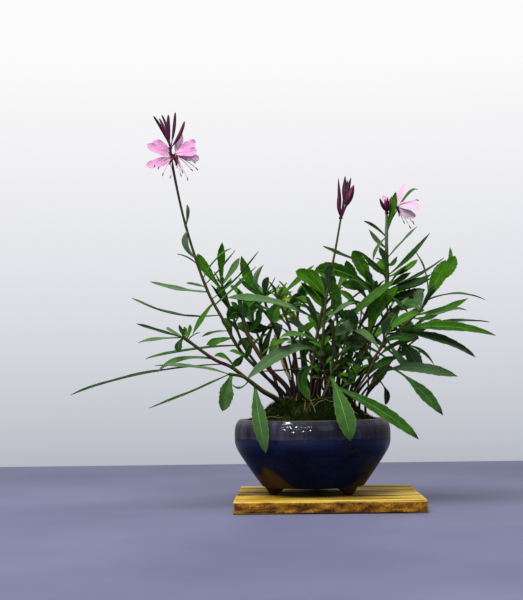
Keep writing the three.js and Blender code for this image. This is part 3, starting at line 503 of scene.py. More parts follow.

# Smaller leaves between those of the solids, in the same form, by the name of their shoot. The low deep ones behind
# the stems fill the dark inside of the plant: their deep green is partly painted shade.
MORE_LEAVES = {
    "middle_flower_stem": [
        (0.1, (8.5, 2, 85.5), (13.5, 2, 91.5), 3.5, 70, "deep"),
        (0.16, (0.5, 2, 94), (-3.5, 2, 100), 3.5, 70, ""),
        (0.475, (4, -8, 129), (-0.5, -8, 136), 5.5, 65, "fresh"),
    ],
    "right_inner_shoot": [
        (0.733, (26, 10, 116.5), (19, 8, 113.5), 2.5, 60, "deep"),
        (0.51, (29.5, 8, 110.5), (31.5, 6, 118), 3.2, 60, "deep"),
        (0.36, (29.5, 8, 99), (36.5, 7, 100), 4.4, 65, "deep"),
    ],
    "centre_shoot": [
        (0.3, (-2, 0, 92), (-5, 0, 96), 4, 65, "deep"), (0.05, (2, 2, 74.5), (3.5, 2, 85), 4, 80, "deep"),
        (0.02, (-2, 4, 69), (-3, 4, 76), 3, 80, "deep"),
        (0.2, (-15, -2, 77.5), (-28.5, -2, 77), 2, 25, "grey deep"),
        (0.12, (-3, 8, 79.5), (-4, 8, 89), 4, 80, "deep"),
        (0.527, (0.5, -3, 113.5), (-3, -5, 120), 5.8, 60, "grey"),
        (0.823, (7.5, -1, 118), (7.5, -2, 122), 3, 60, "fresh brown"),
        (0.41, (-7.5, -6.5, 98.5), (-18, -9.5, 96.5), 3.5, 50, "grey fresh"),
        (0.335, (6.5, -7, 92.5), (11, -9, 97), 4.8, 70, ""),
        (0.265, (4.5, -8.5, 87), (8.5, -10.5, 85.5), 2.8, 60, "deep"),
        (0.635, (11.5, -3, 113), (18, -4, 114.5), 3, 60, "deep"),
    ],
    "back_mid_shoot": [
        (0.15, (18, 18, 78), (22.5, 18, 85), 4, 80, "deep"),
        (0.3, (11.5, 22, 87.5), (7.5, 22, 96), 4.5, 80, "deep"),
        (0.525, (13.5, 18.5, 112), (12.5, 15.5, 118.5), 4, 50, "fresh brown"),
    ],
    "right_flower_stem": [
        (0.66, (48, 3, 138.5), (51, 3, 143), 2.5, 70, ""),
        (0.25, (45, 1, 107), (54, -1, 115.5), 4.5, 65, "deep"),
        (0.335, (45, 1, 118), (50.5, -1, 126), 5.5, 70, "fresh"),
        (0.487, (51.5, 1, 129), (59, -1, 133.5), 3.8, 60, "fresh"),
        (0.43, (54.5, 4.5, 125.5), (70.5, 4.5, 129.5), 5.2, 70, "deep"),
        (0.287, (44, 0, 115.5), (51, -3, 125.5), 5, 65, "fresh"),
        (0.17, (34, 1, 84), (35, 0, 75.5), 3.4, 65, "deep"),
    ],
    "inner_shoot": [
        (0.312, (-6, -1, 92), (-7, -3, 97), 5, 75, "fresh"),
        (0.772, (-20.5, 1, 112.5), (-22.5, 0, 105), 6.6, 75, ""),
        (0.71, (-13, 1, 116), (-9, 0, 113.5), 2.6, 60, "lime"),
        (0.838, (-15, 1, 119), (-11.5, -1, 116.5), 2.4, 65, "lime"),
        (0.637, (-11.5, 1.5, 110.5), (-8, 0.5, 106), 2.6, 60, "lime"),
        (0.968, (-20.5, 2, 122), (-19, 2, 125.5), 2.2, 50, "lime brown"),
        (0.615, (-9.5, 0.5, 106), (-4.5, -1.5, 100), 3.8, 60, "grey"),
    ],
    "front_shoot": [
        (1, (11.5, -20, 77), (11, -20, 82), 3.6, 80, "pale fresh"),
    ],
    "centre_back_shoot": [
        (0.12, (9, 6, 79.5), (10, 6, 92), 5, 80, "deep"),
        (0.18, (11, -6, 76.5), (11.5, -6, 82), 4, 80, "fresh"),
        (0.05, (6, 5, 67.5), (7, 5, 74.5), 3, 80, "deep"), (0.3, (6.5, 9, 87.5), (0.5, 9, 91), 3.5, 70, "deep"),
        (0.345, (20, 2, 83.5), (24.5, 0, 88), 4, 70, ""), (0.868, (15, 3, 109), (16, 1, 118), 3.4, 60, ""),
        (0.593, (24, 3, 95.5), (31, 1, 94.5), 5, 70, "deep"),
    ],
    "red_right_shoot": [
        (0.585, (58.5, -3, 115), (52.5, -2, 111), 6.2, 70, "deep grey"),
        (0.258, (52, -8.5, 82.5), (58.5, -10.5, 77.5), 4, 60, "grey"),
    ],
    "right_red_side_shoot": [
        (0.815, (49.5, -3, 107.5), (57.5, -5, 119), 4.8, 70, "grey"),
        (0.685, (56.5, -2, 96.5), (66.5, -3, 100.5), 5, 65, "deep"),
    ],
    "right_front_shoot": [
        (0.25, (40, -14, 80.5), (50, -14, 83.5), 4.5, 60, "deep"),
        (0.925, (52, -20, 105.5), (63.5, -22, 110), 4.5, 65, ""),
        (0.71, (49, -18, 96), (61, -19, 94), 4.5, 60, "deep"),
    ],
    "red_left_shoot": [
        (1, (-41, -1, 117), (-41.5, 0, 125), 2.8, 60, "fresh"),
        (1, (-43, -4, 114), (-46.5, -5, 117.5), 3.6, 65, "fresh"),
        (0.598, (-36, -5.5, 89.5), (-38, -6.5, 84), 3.2, 70, "deep"),
        (0.672, (-39.5, -1.5, 95), (-42.5, -1.5, 91), 3, 65, "deep"),
    ],
    "left_mid_shoot": [
        (0.705, (-33, 13, 115.5), (-40, 14, 119), 5.6, 65, ""),
        (0.632, (-29, 9.5, 112), (-31.5, 8.5, 105), 3.2, 60, "deep"),
        (0.542, (-26, 10, 93.5), (-28, 9, 83), 3.8, 65, "deep"),
        (0.57, (-28.5, 14, 97), (-29, 13, 87), 2.6, 60, "deep"),
    ],
    "left_front_shoot": [
        (0.575, (-41.5, -17, 67.5), (-46, -17, 69.5), 1.6, 40, "grey"),
    ],
    "back_right_shoot": [
        (0.15, (31.5, 18, 76.5), (38.5, 18, 81.5), 4, 75, "deep"),
        (0.4, (29, 24, 94.5), (24, 24, 99.5), 4.5, 75, "deep"),
        (0.755, (37.5, 21, 115), (36, 19, 123.5), 5, 65, "deep"),
    ],
    "back_centre_shoot": [
        (0.3, (2.5, 22, 80), (-1.5, 22, 87), 4.5, 80, "deep"),
        (0.5, (1.5, 28, 89), (-4, 28, 93), 4.5, 80, "deep"),
        (0.7, (9.5, 36, 97), (12, 36, 105), 4.5, 80, "deep"),
    ],
    "back_inner_shoot": [
        (0.15, (-8.5, 19, 75.5), (-10.5, 19, 84.5), 3.5, 80, "deep"),
        (0.3, (-3.5, 24, 88), (-0.5, 24, 96), 4, 80, "deep"),
    ],
}

# Thin side shoots low down between the stems: foot in the moss, middle, top, radius, how red
TWIGS = [
    ((-10.5, 6, 64), (-11.5, 6, 77), (-14, 6, 89), 0.85, 0.7),
    ((-8.5, 3, 64), (-9, 3, 76), (-11, 3, 87.5), 0.6, 0.5),
    ((18, -4, 64.5), (23.5, -4, 74.5), (32, -4, 84.5), 0.35, 0.1),
    ((21.5, -7, 63.5), (27.5, -7, 71.5), (37, -7, 82), 0.35, 0.15),
    ((23.5, 2, 63), (26, 2, 76), (35.5, 2, 94.5), 0.55, 1),
    ((9, 1, 64.5), (11, 1, 76), (11.5, 1, 88.5), 0.7, 0.7),
    ((11, -2, 62), (12.5, -2, 87.5), (13, -2, 105), 1.1, 0.6),
    ((14, -4, 61.5), (16, -4, 78), (20.5, -4, 95.5), 0.8, 0.9),
    ((17, -3, 61.5), (23.5, -3, 74.5), (33, -3, 88.5), 0.6, 1),
    ((20, -6, 61), (29.5, -6, 74.5), (39.5, -6, 84), 0.8, 0.3),
    ((21.5, -8, 60), (29, -8, 70), (38, -8, 79), 0.7, 0.3),
    ((8, 4, 62), (7.5, 4, 80.5), (6.5, 4, 97.5), 0.8, 0.6),
    ((2.5, 0, 62), (0.5, 0, 79.5), (-1, 0, 92), 0.8, 0.7),
    ((-1.5, 6, 61.5), (-5, 6, 79.5), (-6.5, 6, 90), 0.7, 0.5),
    ((-6.5, 2, 61.5), (-9, 2, 77), (-10.5, 2, 92), 0.7, 0.8),
    ((32.5, 8, 63), (33.5, 8, 79), (35, 8, 95.5), 0.5, 0.1),
    ((23, -3, 59.5), (35, -3, 73.5), (47, -3, 82), 0.7, 0.3),
    ((15, 6, 62), (20.5, 6, 76), (26.5, 6, 87.5), 0.7, 0.9),
    ((6, -8, 61), (10.5, -8, 73.5), (17.5, -8, 87.5), 0.6, 0.8),
    ((10.5, -9, 61), (8.5, -9, 73.5), (3, -9, 87.5), 0.6, 0.7),
    ((18.5, -10, 61), (23.5, -10, 71), (30.5, -10, 79), 0.5, 0.4),
    ((0.5, -6, 61), (4, -6, 74.5), (8.5, -6, 89), 0.6, 0.8),
    ((14, -12, 61), (19.5, -12, 69), (27, -12, 74.5), 0.45, 0.2),
]

# What each look word says of a leaf: tone from deep to fresh green, greyness, and brown at the tip
LOOKS = {
    "": (0.5, 0.06, 0.1), "deep": (0.14, 0.04, 0.1), "fresh": (0.6, 0.0, 0.15), "grey": (0.35, 0.6, 0.1),
    "pale": (0.5, 1.0, 0.1), "brown": (0.35, 0.1, 1.0), "young": (0.95, 0.0, 0.35), "lime": (1.3, 0.0, 0.3),
}
SPRAY_LOOKS = ["", "", "deep", "grey", "fresh"]
TWIG_LOOKS = ["deep", "deep", "", "fresh deep"]

# How much fuller a finished blade is than the solid's, and how much fuller or finer some stems are
FULLNESS = 1.1
GIRTHS = {
    "right_flower_stem": 1.5, "low_left_shoot": 1.2, "left_front_shoot": 1.15, "red_left_shoot": 1.25,
    "right_front_shoot": 0.75, "low_right_shoot": 0.75, "right_red_side_shoot": 0.75, "red_right_shoot": 0.85,
    "back_side_shoot": 0.75, "back_right_shoot": 0.85,
}
# Where a stem turns crimson: the middle of the stretch and how far it spreads, as parts of the length
CRIMSON = {"low_left_shoot": (0.75, 0.13), "red_right_shoot": (0.8, 0.15)}

# Outlines from root to tip: part of the length, half width as part of the full width
BROAD_LEAF = [(0, 0.1), (0.12, 0.13), (0.28, 0.28), (0.45, 0.44), (0.62, 0.5), (0.79, 0.43), (0.92, 0.23), (1, 0)]
STALKED_LEAF = [(0, 0.09), (0.3, 0.1), (0.45, 0.22), (0.6, 0.42), (0.75, 0.5), (0.9, 0.32), (1, 0)]
SLIM_LEAF = [(0, 0.13), (0.2, 0.24), (0.45, 0.42), (0.66, 0.5), (0.85, 0.32), (1, 0)]
YOUNG_LEAF = [(0, 0.16), (0.3, 0.33), (0.6, 0.5), (0.85, 0.3), (1, 0)]
PETAL = [(0, 0.11), (0.1, 0.15), (0.24, 0.31), (0.42, 0.46), (0.6, 0.5), (0.78, 0.43), (0.92, 0.25), (1, 0.03)]
SEPAL = [(0, 0.3), (0.3, 0.5), (0.7, 0.35), (1, 0)]
ANTHER = [(0, 0), (0.08, 0.42), (0.5, 0.5), (0.92, 0.42), (1, 0)]
CORE = [(0, 0), (0.2, 0.4), (0.5, 0.5), (0.8, 0.4), (1, 0)]
# A bud's body, from where its foot ends to its tip
BUD_FOOT = 0.17
BUD = [(0, BUD_FOOT), (0.12, 0.33), (0.45, 0.5), (0.75, 0.44), (0.93, 0.28), (0.98, 0.15), (1, 0)]
SHARP_BUD = [(0, BUD_FOOT), (0.15, 0.38), (0.38, 0.5), (0.6, 0.42), (0.8, 0.26), (0.95, 0.09), (1, 0)]

# What the blades of a kind share. twist in degrees and waves along the edge are drawn between limits; wave and
# bite are how far the edge waves and is cut by its teeth; least is the smallest half width; the rib's spread,
# the blade's thickness and the depth of its groove are in millimetres; under is how much greyer it is below.
LEAF_FORM = {
    "outline": BROAD_LEAF, "twist": 25, "waves": (1.2, 2.4), "wave": 0.045, "teeth": 9, "bite": 0.14,
    "least": 0.42, "rib": 0.55, "thick": 0.42, "groove": 0.16, "under": 0.45,
}
STALKED_FORM = {**LEAF_FORM, "outline": STALKED_LEAF}
SLIM_FORM = {**LEAF_FORM, "outline": SLIM_LEAF, "teeth": 0, "wave": 0.06}
YOUNG_FORM = {**LEAF_FORM, "outline": YOUNG_LEAF, "teeth": 0, "groove": 0.1, "least": 0.3}
PETAL_FORM = {
    "outline": PETAL, "twist": 20, "waves": (1.4, 2.2), "wave": 0.07, "teeth": 0, "bite": 0,
    "least": 0.35, "rib": 0.4, "thick": 0.26, "groove": 0.08, "under": 0.5,
}
SEPAL_FORM = {**PETAL_FORM, "outline": SEPAL, "wave": 0.03}

# Far lamps that only show as shine: small ones that sparkle in the glaze, a wider one for its rim and
# a wide one for its right side. Degrees to the left, degrees up, size, power
LAMP_AIM = Vector((0, 0, 0.1))
LAMP_DISTANCE = 2.4
LAMPS = [
    (47, 28, 0.055, 3.2), (43, 18, 0.055, 2), (40, 35, 0.055, 3.2), (35, 24, 0.055, 2.6), (31, 12, 0.055, 2),
    (28, 33, 0.055, 3.2), (24, 21, 0.055, 2.6), (20, 30, 0.055, 3.2), (16, 13, 0.055, 2), (12, 26, 0.055, 3.2),
    (7, 34, 0.055, 3.2), (5, 17, 0.055, 2), (66, 64, 0.2, 7), (-24, 32, 1.3, 4),
]


def seen(place):
    """The real place of a point that shows at x, z and lies y behind the bowl's axis."""
    x, y, z = place
    reach = (y - EYE.y) / -EYE.y
    return Vector((EYE.x + (x - EYE.x) * reach, y, EYE.z + (z - EYE.z) * reach))


def held(value, low=0, high=1):
    """The value, kept between low and high."""
    return max(low, min(high, value))


def polar(radius, azimuth, height=0):
    """A place at a distance from the axis and an azimuth in radians."""
    return Vector((radius * math.cos(azimuth), radius * math.sin(azimuth), height))


def direction(azimuth, rise):
    """Which way an azimuth and a rise in degrees point."""
    lift = math.radians(rise)
    return polar(math.cos(lift), math.radians(azimuth), math.sin(lift))


def on_line(points, part):
    """A place on the smooth line through the points, with part from 0 to 1."""
    spot = part * (len(points) - 1)
    k = min(int(spot), len(points) - 2)
    w = spot - k
    a, b = points[k], points[k + 1]
    before = points[k - 1] if k > 0 else 2 * a - b
    after = points[k + 2] if k + 2 < len(points) else 2 * b - a
    out, into = (b - before) / 2, (after - a) / 2
    return a + out * w + (3 * (b - a) - 2 * out - into) * w**2 + (2 * (a - b) + out + into) * w**3


def on_arc(ends, part):
    """A place on the bent line from a root past a middle to a tip."""
    root, middle, tip = ends
    bend = 2 * middle - 0.5 * root - 0.5 * tip
    return root * (1 - part) ** 2 + bend * (2 * part * (1 - part)) + tip * part**2


def section_of(line, part, step):
    """A line's place at a part of its length, and the two directions across it there."""
    ahead = (line(min(part + step, 1)) - line(max(part - step, 0))).normalized()
    across = (Vector((0, 1, 0)) - ahead * ahead.y).normalized()
    return line(part), across, ahead.cross(across)


def outline_at(outline, part):
    """Height of a smooth outline at a part of its length."""
    k = 0
    while k < len(outline) - 2 and part > outline[k + 1][0]:
        k += 1
    (a, low), (b, high) = outline[k], outline[k + 1]
    before = outline[max(k - 1, 0)]
    after = outline[min(k + 2, len(outline) - 1)]
    span = b - a
    rise_in = (high - before[1]) / max(b - before[0], 1e-6) * span
    rise_out = (after[1] - low) / max(after[0] - a, 1e-6) * span
    w = (part - a) / span
    bow = (2 * w**3 - 3 * w**2 + 1) * low + (w**3 - 2 * w**2 + w) * rise_in
    return max(bow + (3 * w**2 - 2 * w**3) * high + (w**3 - w**2) * rise_out, 0)


@contextlib.contextmanager
def edit_mode():
    """Edit mode for the lines inside, with all of the shape chosen."""
    bpy.ops.object.mode_set(mode="EDIT")
    bpy.ops.mesh.select_all(action="SELECT")
    yield
    bpy.ops.object.mode_set(mode="OBJECT")


def cut(place, across):
    """Cuts the shape that is in edit mode by a plane, which gives it a row of corners more."""
    bpy.ops.mesh.select_all(action="SELECT")
    bpy.ops.mesh.bisect(plane_co=place, plane_no=across)


def settle(piece):
    """Takes a piece's own place into its mesh."""
    piece.data.transform(piece.matrix_world)
    piece.matrix_world = Matrix.Identity(4)


def copy_of(master, name):
    """A copy of a piece with its own mesh."""
    piece = bpy.data.objects.new(name, master.data.copy())
    bpy.context.collection.objects.link(piece)
    return piece


def corners_of(piece):
    flat = np.empty(len(piece.data.vertices) * 3, dtype=np.float32)
    piece.data.vertices.foreach_get("co", flat)
    return flat.reshape(-1, 3)


def shape(piece, places, marks=None, unit=MM):
    """Moves every corner to its place, and keeps three values there for the material to read."""
    piece.data.vertices.foreach_set("co", (np.array(places, dtype=np.float32) * unit).ravel())
    piece.data.update()
    if marks:
        kept = piece.data.attributes.new("marks", "FLOAT_VECTOR", "POINT")
        kept.data.foreach_set("vector", np.array(marks, dtype=np.float32).ravel())
    return piece


def joined(name, parts):
    """All the parts as one named piece."""
    bpy.ops.object.select_all(action="DESELECT")
    for part in parts:
        part.select_set(True)
    bpy.context.view_layer.objects.active = parts[0]
    if len(parts) > 1:
        bpy.ops.object.join()
    parts[0].name = name
    parts[0].data.name = name
    return parts[0]


def fit(piece, material, slot, *nodes, angle=60):
    """Gives a finished piece its material and its place on the body."""
    piece.data.materials.clear()
    piece.data.materials.append(material)
    bpy.ops.object.select_all(action="DESELECT")
    piece.select_set(True)
    bpy.context.view_layer.objects.active = piece
    bpy.ops.object.shade_smooth_by_angle(angle=math.radians(angle))
    piece.select_set(False)
    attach(piece, "root")
    if nodes:
        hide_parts(*nodes)
    return piece


# Shapes that many pieces are copied from


def blade_master(name, across, lengthwise):
    """A thin flat blade, one unit long along Y and two wide, with its map from edge to edge."""
    bpy.ops.mesh.primitive_grid_add(x_subdivisions=across, y_subdivisions=lengthwise, size=2)
    blade = bpy.context.object
    blade.name = name
    with edit_mode():
        bpy.ops.transform.resize(value=(1, 0.5, 1))
        bpy.ops.transform.translate(value=(0, 0.5, 0))
    wall = blade.modifiers.new("thickness", "SOLIDIFY")
    wall.thickness = 0.1
    wall.offset = 0
    bpy.ops.object.modifier_apply(modifier=wall.name)
    return blade


def stalk_master(name, sides, steps):
    """A closed round stalk of unit radius, one unit long along Z."""
    bpy.ops.mesh.primitive_circle_add(vertices=sides, radius=1, fill_type="NGON")
    stalk = bpy.context.object
    stalk.name = name
    with edit_mode():
        for _ in range(steps):
            bpy.ops.mesh.extrude_region_move(TRANSFORM_OT_translate={"value": (0, 0, 1 / steps)})
        bpy.ops.mesh.select_all(action="SELECT")
        bpy.ops.mesh.normals_make_consistent(inside=False)
    return stalk


def bud_master(name, sides, rings):
    """A round body with poles on Z, that buds, anthers and cores are copied from."""
    bpy.ops.mesh.primitive_uv_sphere_add(segments=sides, ring_count=rings, radius=1)
    body = bpy.context.object
    body.name = name
    return body


def lay_blade(master, ends, width, turn, form, looks, seed):
    """A leaf, petal or sepal on its rib, hollowed along the middle and waved at its edges."""
    dice = random.Random(seed)
    blade = copy_of(master, "blade")
    root, _, tip = ends
    chord = tip - root
    level = Vector((0, 0, 1)).cross(chord)
    side = -1 if chord.x < 0 else 1
    twist = math.radians(dice.uniform(-form["twist"], form["twist"]))
    waves = dice.uniform(*form["waves"])
    start = dice.uniform(0, 1)
    uneven = dice.uniform(-0.35, 0.35)
    stations = {}

    def station(part):
        """Place, directions across and up, and half width at a part of the blade's length."""
        place = on_arc(ends, part)
        ahead = (on_arc(ends, min(part + 0.01, 1)) - on_arc(ends, max(part - 0.01, 0))).normalized()
        if part < 0.02:
            place = place - ahead * ROOT_DEPTH
        flat = (level - ahead * level.dot(ahead)).normalized()
        angle = math.radians(turn) * side + twist * (part - 0.4)
        across = flat * math.cos(angle) + ahead.cross(flat) * math.sin(angle)
        half = outline_at(form["outline"], part) * width
        if form["teeth"] and 0.3 < part < 0.96:
            saw = (part * form["teeth"] + start) % 1
            half *= 1 + form["bite"] * (saw - 0.5)
        point = 0.12 if part > 0.99 else 1
        return place, across, ahead.cross(across), max(half, form["least"] * point)

    places, marks = [], []
    tone, grey, brown = looks
    for x, part, z in corners_of(blade):
        key = round(float(part), 4)
        if key not in stations:
            stations[key] = station(key)
        place, across, up, half = stations[key]
        fade = math.sin(math.pi * min(key, 1)) ** 0.5 if 0 < key < 1 else 0
        wave = math.sin(2 * math.pi * (key * waves + start + 0.25 * x))
        lift = KEEL * half * (abs(x) ** 1.5 - 0.5 * fade) + form["wave"] * width * wave * x * x * fade
        lift += uneven * form["wave"] * width * x * fade
        rib = math.exp(-((x * half / form["rib"]) ** 2))
        thick = form["thick"] * (1 - 0.55 * abs(x))
        if z > 0:
            lift += 0.5 * thick - form["groove"] * rib
        else:
            lift -= 0.5 * thick + form["groove"] * 1.4 * rib * (1 - 0.6 * key)
        places.append(place - across * (x * half) + up * lift)
        marks.append((tone, grey + (0 if z > 0 else form["under"]), brown))
    return shape(blade, places, marks)


def lay_stalk(master, line, radius_at, marks_at):
    """A round stalk along a line, with its radius and its looks given by the part of its length."""
    stalk = copy_of(master, "stalk")
    rings = {}
    places, marks = [], []
    for x, y, z in corners_of(stalk):
        key = round(float(z), 4)
        if key not in rings:
            rings[key] = (*section_of(line, key, 0.005), radius_at(key))
        place, across, other, radius = rings[key]
        places.append(place + across * (x * radius) + other * (y * radius))
        marks.append(marks_at(key))
    return shape(stalk, places, marks)


def lay_bud(line, width, outline, marks_at, seams=0.0):
    """A long round body along a line; the seams are four faint ones where its sepals meet."""
    body = copy_of(BUD_BODY, "bud")
    places, marks = [], []
    for x, y, z in corners_of(body):
        part = 1 - math.acos(held(float(z), -1)) / math.pi
        part -= 0.09 * math.sin(2 * math.pi * part)
        place, across, other = section_of(line, part, 0.01)
        turn = math.atan2(y, x)
        radius = outline_at(outline, part) * width * (1 + seams * math.cos(4 * turn))
        places.append(place + across * (math.cos(turn) * radius) + other * (math.sin(turn) * radius))
        marks.append(marks_at(part))
    return shape(body, places, marks)


# Nodes that several materials share


def node(tree, kind, feeds=None, **settings):
    """A node with its settings; each input that is fed gets a socket's value or a plain one."""
    made = tree.nodes.new(kind)
    for key, value in settings.items():
        setattr(made, key, value)
    for key, value in (feeds or {}).items():
        feed(tree, made.inputs[key], value)
    return made


def feed(tree, socket, value):
    """Links another socket to this one, or sets it to a plain number, colour or vector."""
    if isinstance(value, bpy.types.NodeSocket):
        tree.links.new(value, socket)
    elif value is not None:
        socket.default_value = (*value, 1) if socket.type == "RGBA" else value


def maths(tree, what, first, second=None, clamp=False):
    return node(tree, "ShaderNodeMath", {0: first, 1: second}, operation=what, use_clamp=clamp).outputs[0]


def blend_colours(tree, amount, first, second):
    return node(tree, "ShaderNodeMix", {0: amount, 6: first, 7: second}, data_type="RGBA").outputs[2]


def layered(tree, colour, *layers):
    """A colour with others laid over it in turn: the other colour, where it shows and how strongly."""
    for other, where, *strength in layers:
        where = maths(tree, "MULTIPLY", where, *strength) if strength else where
        colour = blend_colours(tree, where, colour, other)
    return colour


def uneven(tree, value, patches, reach):
    """A value moved up and down by patches, by half of the reach either way."""
    return maths(tree, "ADD", value, maths(tree, "MULTIPLY", maths(tree, "SUBTRACT", patches, 0.5), reach))


def soft_step(tree, value, low, high, kind="SMOOTHSTEP"):
    """0 below one value and 1 above the other, smooth between them unless another kind is named."""
    feeds = {"Value": value, "From Min": low, "From Max": high}
    return node(tree, "ShaderNodeMapRange", feeds, interpolation_type=kind).outputs[0]


def steps(tree, value, colours):
    """Colours along a value: a list of places and colours."""
    made = node(tree, "ShaderNodeValToRGB", {0: value})
    ramp = made.color_ramp
    while len(ramp.elements) < len(colours):
        ramp.elements.new(0.5)
    for element, (place, colour) in zip(ramp.elements, colours):
        element.position = place
        element.color = (*colour, 1)
    return made.outputs[0]


def split(tree, value):
    return node(tree, "ShaderNodeSeparateXYZ", {0: value}).outputs


def place_of(tree, kind="Object"):
    return node(tree, "ShaderNodeTexCoord").outputs[kind]


def marks_of(tree):
    """The three values that a piece keeps at each corner."""
    return split(tree, node(tree, "ShaderNodeAttribute", attribute_name="marks").outputs["Vector"])


def bump(tree, height, strength, distance):
    return node(tree, "ShaderNodeBump", {"Strength": strength, "Distance": distance, "Height": height}).outputs[0]


def new_group(name, inputs, outputs):
    group = bpy.data.node_groups.new(name, "ShaderNodeTree")
    for label, value in inputs:
        socket = group.interface.new_socket(label, in_out="INPUT", socket_type="NodeSocketFloat")
        socket.default_value = value
    for label in outputs:
        group.interface.new_socket(label, in_out="OUTPUT", socket_type="NodeSocketFloat")
    return group, node(group, "NodeGroupInput").outputs, node(group, "NodeGroupOutput").inputs


def mottle_group():
    """Uneven patches: how strong they are at a place, from 0 to 1, stretched as the values say."""
    inputs = [("Scale", 400), ("Stretch X", 1), ("Stretch Y", 1), ("Stretch Z", 1), ("Low", 0.4), ("High", 0.6)]
    group, given, out = new_group("mottle", inputs, ["Amount"])
    stretch = node(group, "ShaderNodeCombineXYZ", {k: given["Stretch " + axis] for k, axis in enumerate("XYZ")})
    scaled = node(group, "ShaderNodeVectorMath", {0: place_of(group), 1: stretch.outputs[0]}, operation="MULTIPLY")
    feeds = {"Detail": 4, "Vector": scaled.outputs[0], "Scale": given["Scale"]}
    cloud = node(group, "ShaderNodeTexNoise", feeds).outputs[0]
    feed(group, out["Amount"], soft_step(group, cloud, given["Low"], given["High"], "LINEAR"))
    return group


def vein_group():
    """Midrib, side veins and edge of a blade, read from its own map."""
    inputs = [("Midrib", 0.09), ("Count", 13), ("Slant", 1.3), ("Fineness", 0.8)]
    group, given, out = new_group("veins", inputs, ["Midrib", "Veins", "Edge", "Along"])
    aside, along, _ = split(group, node(group, "ShaderNodeUVMap").outputs[0])
    across = maths(group, "MULTIPLY", maths(group, "ABSOLUTE", maths(group, "SUBTRACT", aside, 0.5)), 2)
    width = maths(group, "MULTIPLY", given["Midrib"], maths(group, "SUBTRACT", 1.25, along))
    midrib = maths(group, "SUBTRACT", 1, maths(group, "DIVIDE", across, width), clamp=True)
    run = maths(group, "MULTIPLY", along, given["Count"])
    lean = maths(group, "MULTIPLY", across, given["Slant"])
    wave = maths(group, "SINE", maths(group, "MULTIPLY", maths(group, "SUBTRACT", run, lean), 2 * math.pi))
    feed(group, out["Midrib"], midrib)
    feed(group, out["Veins"], soft_step(group, wave, given["Fineness"], 1, "LINEAR"))
    feed(group, out["Edge"], soft_step(group, across, 0.8, 1.0))
    feed(group, out["Along"], along)
    return group


MOTTLE = mottle_group()
VEINS = vein_group()


def mottle(tree, **values):
    feeds = {key.replace("_", " "): value for key, value in values.items()}
    return node(tree, "ShaderNodeGroup", feeds, node_tree=MOTTLE).outputs["Amount"]


def veins(tree, **values):
    return node(tree, "ShaderNodeGroup", values, node_tree=VEINS).outputs


# Materials: each look says what feeds the shader's own sockets


def material_of(name, look):
    """A material whose shader is fed with what its look says."""
    material = bpy.data.materials.new(name)
    material.use_nodes = True
    tree = material.node_tree
    shader = tree.nodes["Principled BSDF"]
    for label, value in look(tree).items():
        feed(tree, shader.inputs[label], value)
    return material


def leaf_look(tree):
    """Marks: tone from deep to fresh green, greyness, how brown the tip is."""
    tone, grey, brown = marks_of(tree)
    found = veins(tree)
    patches = mottle(tree, Scale=260, Low=0.3, High=0.7)
    colour = steps(tree, maths(tree, "MULTIPLY", uneven(tree, tone, patches, 0.3), 0.75), [
        (0.0, (0.002, 0.024, 0.001)), (0.3, (0.024, 0.120, 0.001)), (0.7, (0.085, 0.28, 0.002)),
        (1.0, (0.32, 0.36, 0.01)),
    ])
    colour = layered(
        tree, colour,
        ((0.175, 0.285, 0.145), grey, 0.7),
        ((0.13, 0.25, 0.04), found["Veins"], 0.12),
        ((0.24, 0.3, 0.08), found["Edge"], 0.25),
        ((0.3, 0.42, 0.17), found["Midrib"], 0.6),
        ((0.045, 0.018, 0.009), soft_step(tree, found["Along"], 0.86, 0.99), brown),
    )
    relief = maths(tree, "ADD", found["Midrib"], maths(tree, "MULTIPLY", found["Veins"], 0.25))
    return {
        "Base Color": colour,
        "Roughness": steps(tree, grey, [(0, (0.4,) * 3), (1, (0.62,) * 3)]),
        "Specular IOR Level": 0.07,
        "Subsurface Weight": 0.12,
        "Subsurface Radius": (0.0004, 0.0008, 0.0002),
        "Normal": bump(tree, relief, 0.5, 0.0002),
    }


def stem_look(tree):
    """Green above, red to near black at the moss, the near black being painted shade; marks: redness, darkness
    (painted shade low down, the flowering stem's own dark colour higher up), how pale and grey.
    """
    red, dark, pale = marks_of(tree)
    streaks = mottle(tree, Scale=900, Stretch_Z=0.12, Low=0.25, High=0.75)
    colour = steps(tree, uneven(tree, red, streaks, 0.35), [
        (0.0, (0.050, 0.085, 0.008)), (0.35, (0.075, 0.060, 0.010)), (0.65, (0.085, 0.026, 0.012)),
        (1.0, (0.15, 0.012, 0.016)),
    ])
    # The near-black blend is painted shade near the moss; higher on the flowering stem it is the stem's own dark
    # colour
    colour = layered(tree, colour, ((0.012, 0.005, 0.005), dark), ((0.17, 0.23, 0.13), pale))
    return {
        "Base Color": colour, "Roughness": 0.45, "Specular IOR Level": 0.2,
        "Normal": bump(tree, streaks, 0.4, 0.0002),
    }


def dry_look(tree):
    """Pale straw with brown spots; the second mark says how far it is stained by the moss."""
    streaks = mottle(tree, Scale=700, Stretch_Z=0.1, Low=0.3, High=0.7)
    spots = mottle(tree, Scale=350, Low=0.55, High=0.75)
    colour = layered(
        tree, blend_colours(tree, streaks, (0.66, 0.48, 0.20), (0.88, 0.78, 0.48)),
        ((0.16, 0.08, 0.03), spots, 0.7),
        ((0.20, 0.18, 0.07), marks_of(tree)[1]),
    )
    return {"Base Color": colour, "Roughness": 0.7, "Normal": bump(tree, streaks, 0.5, 0.0002)}


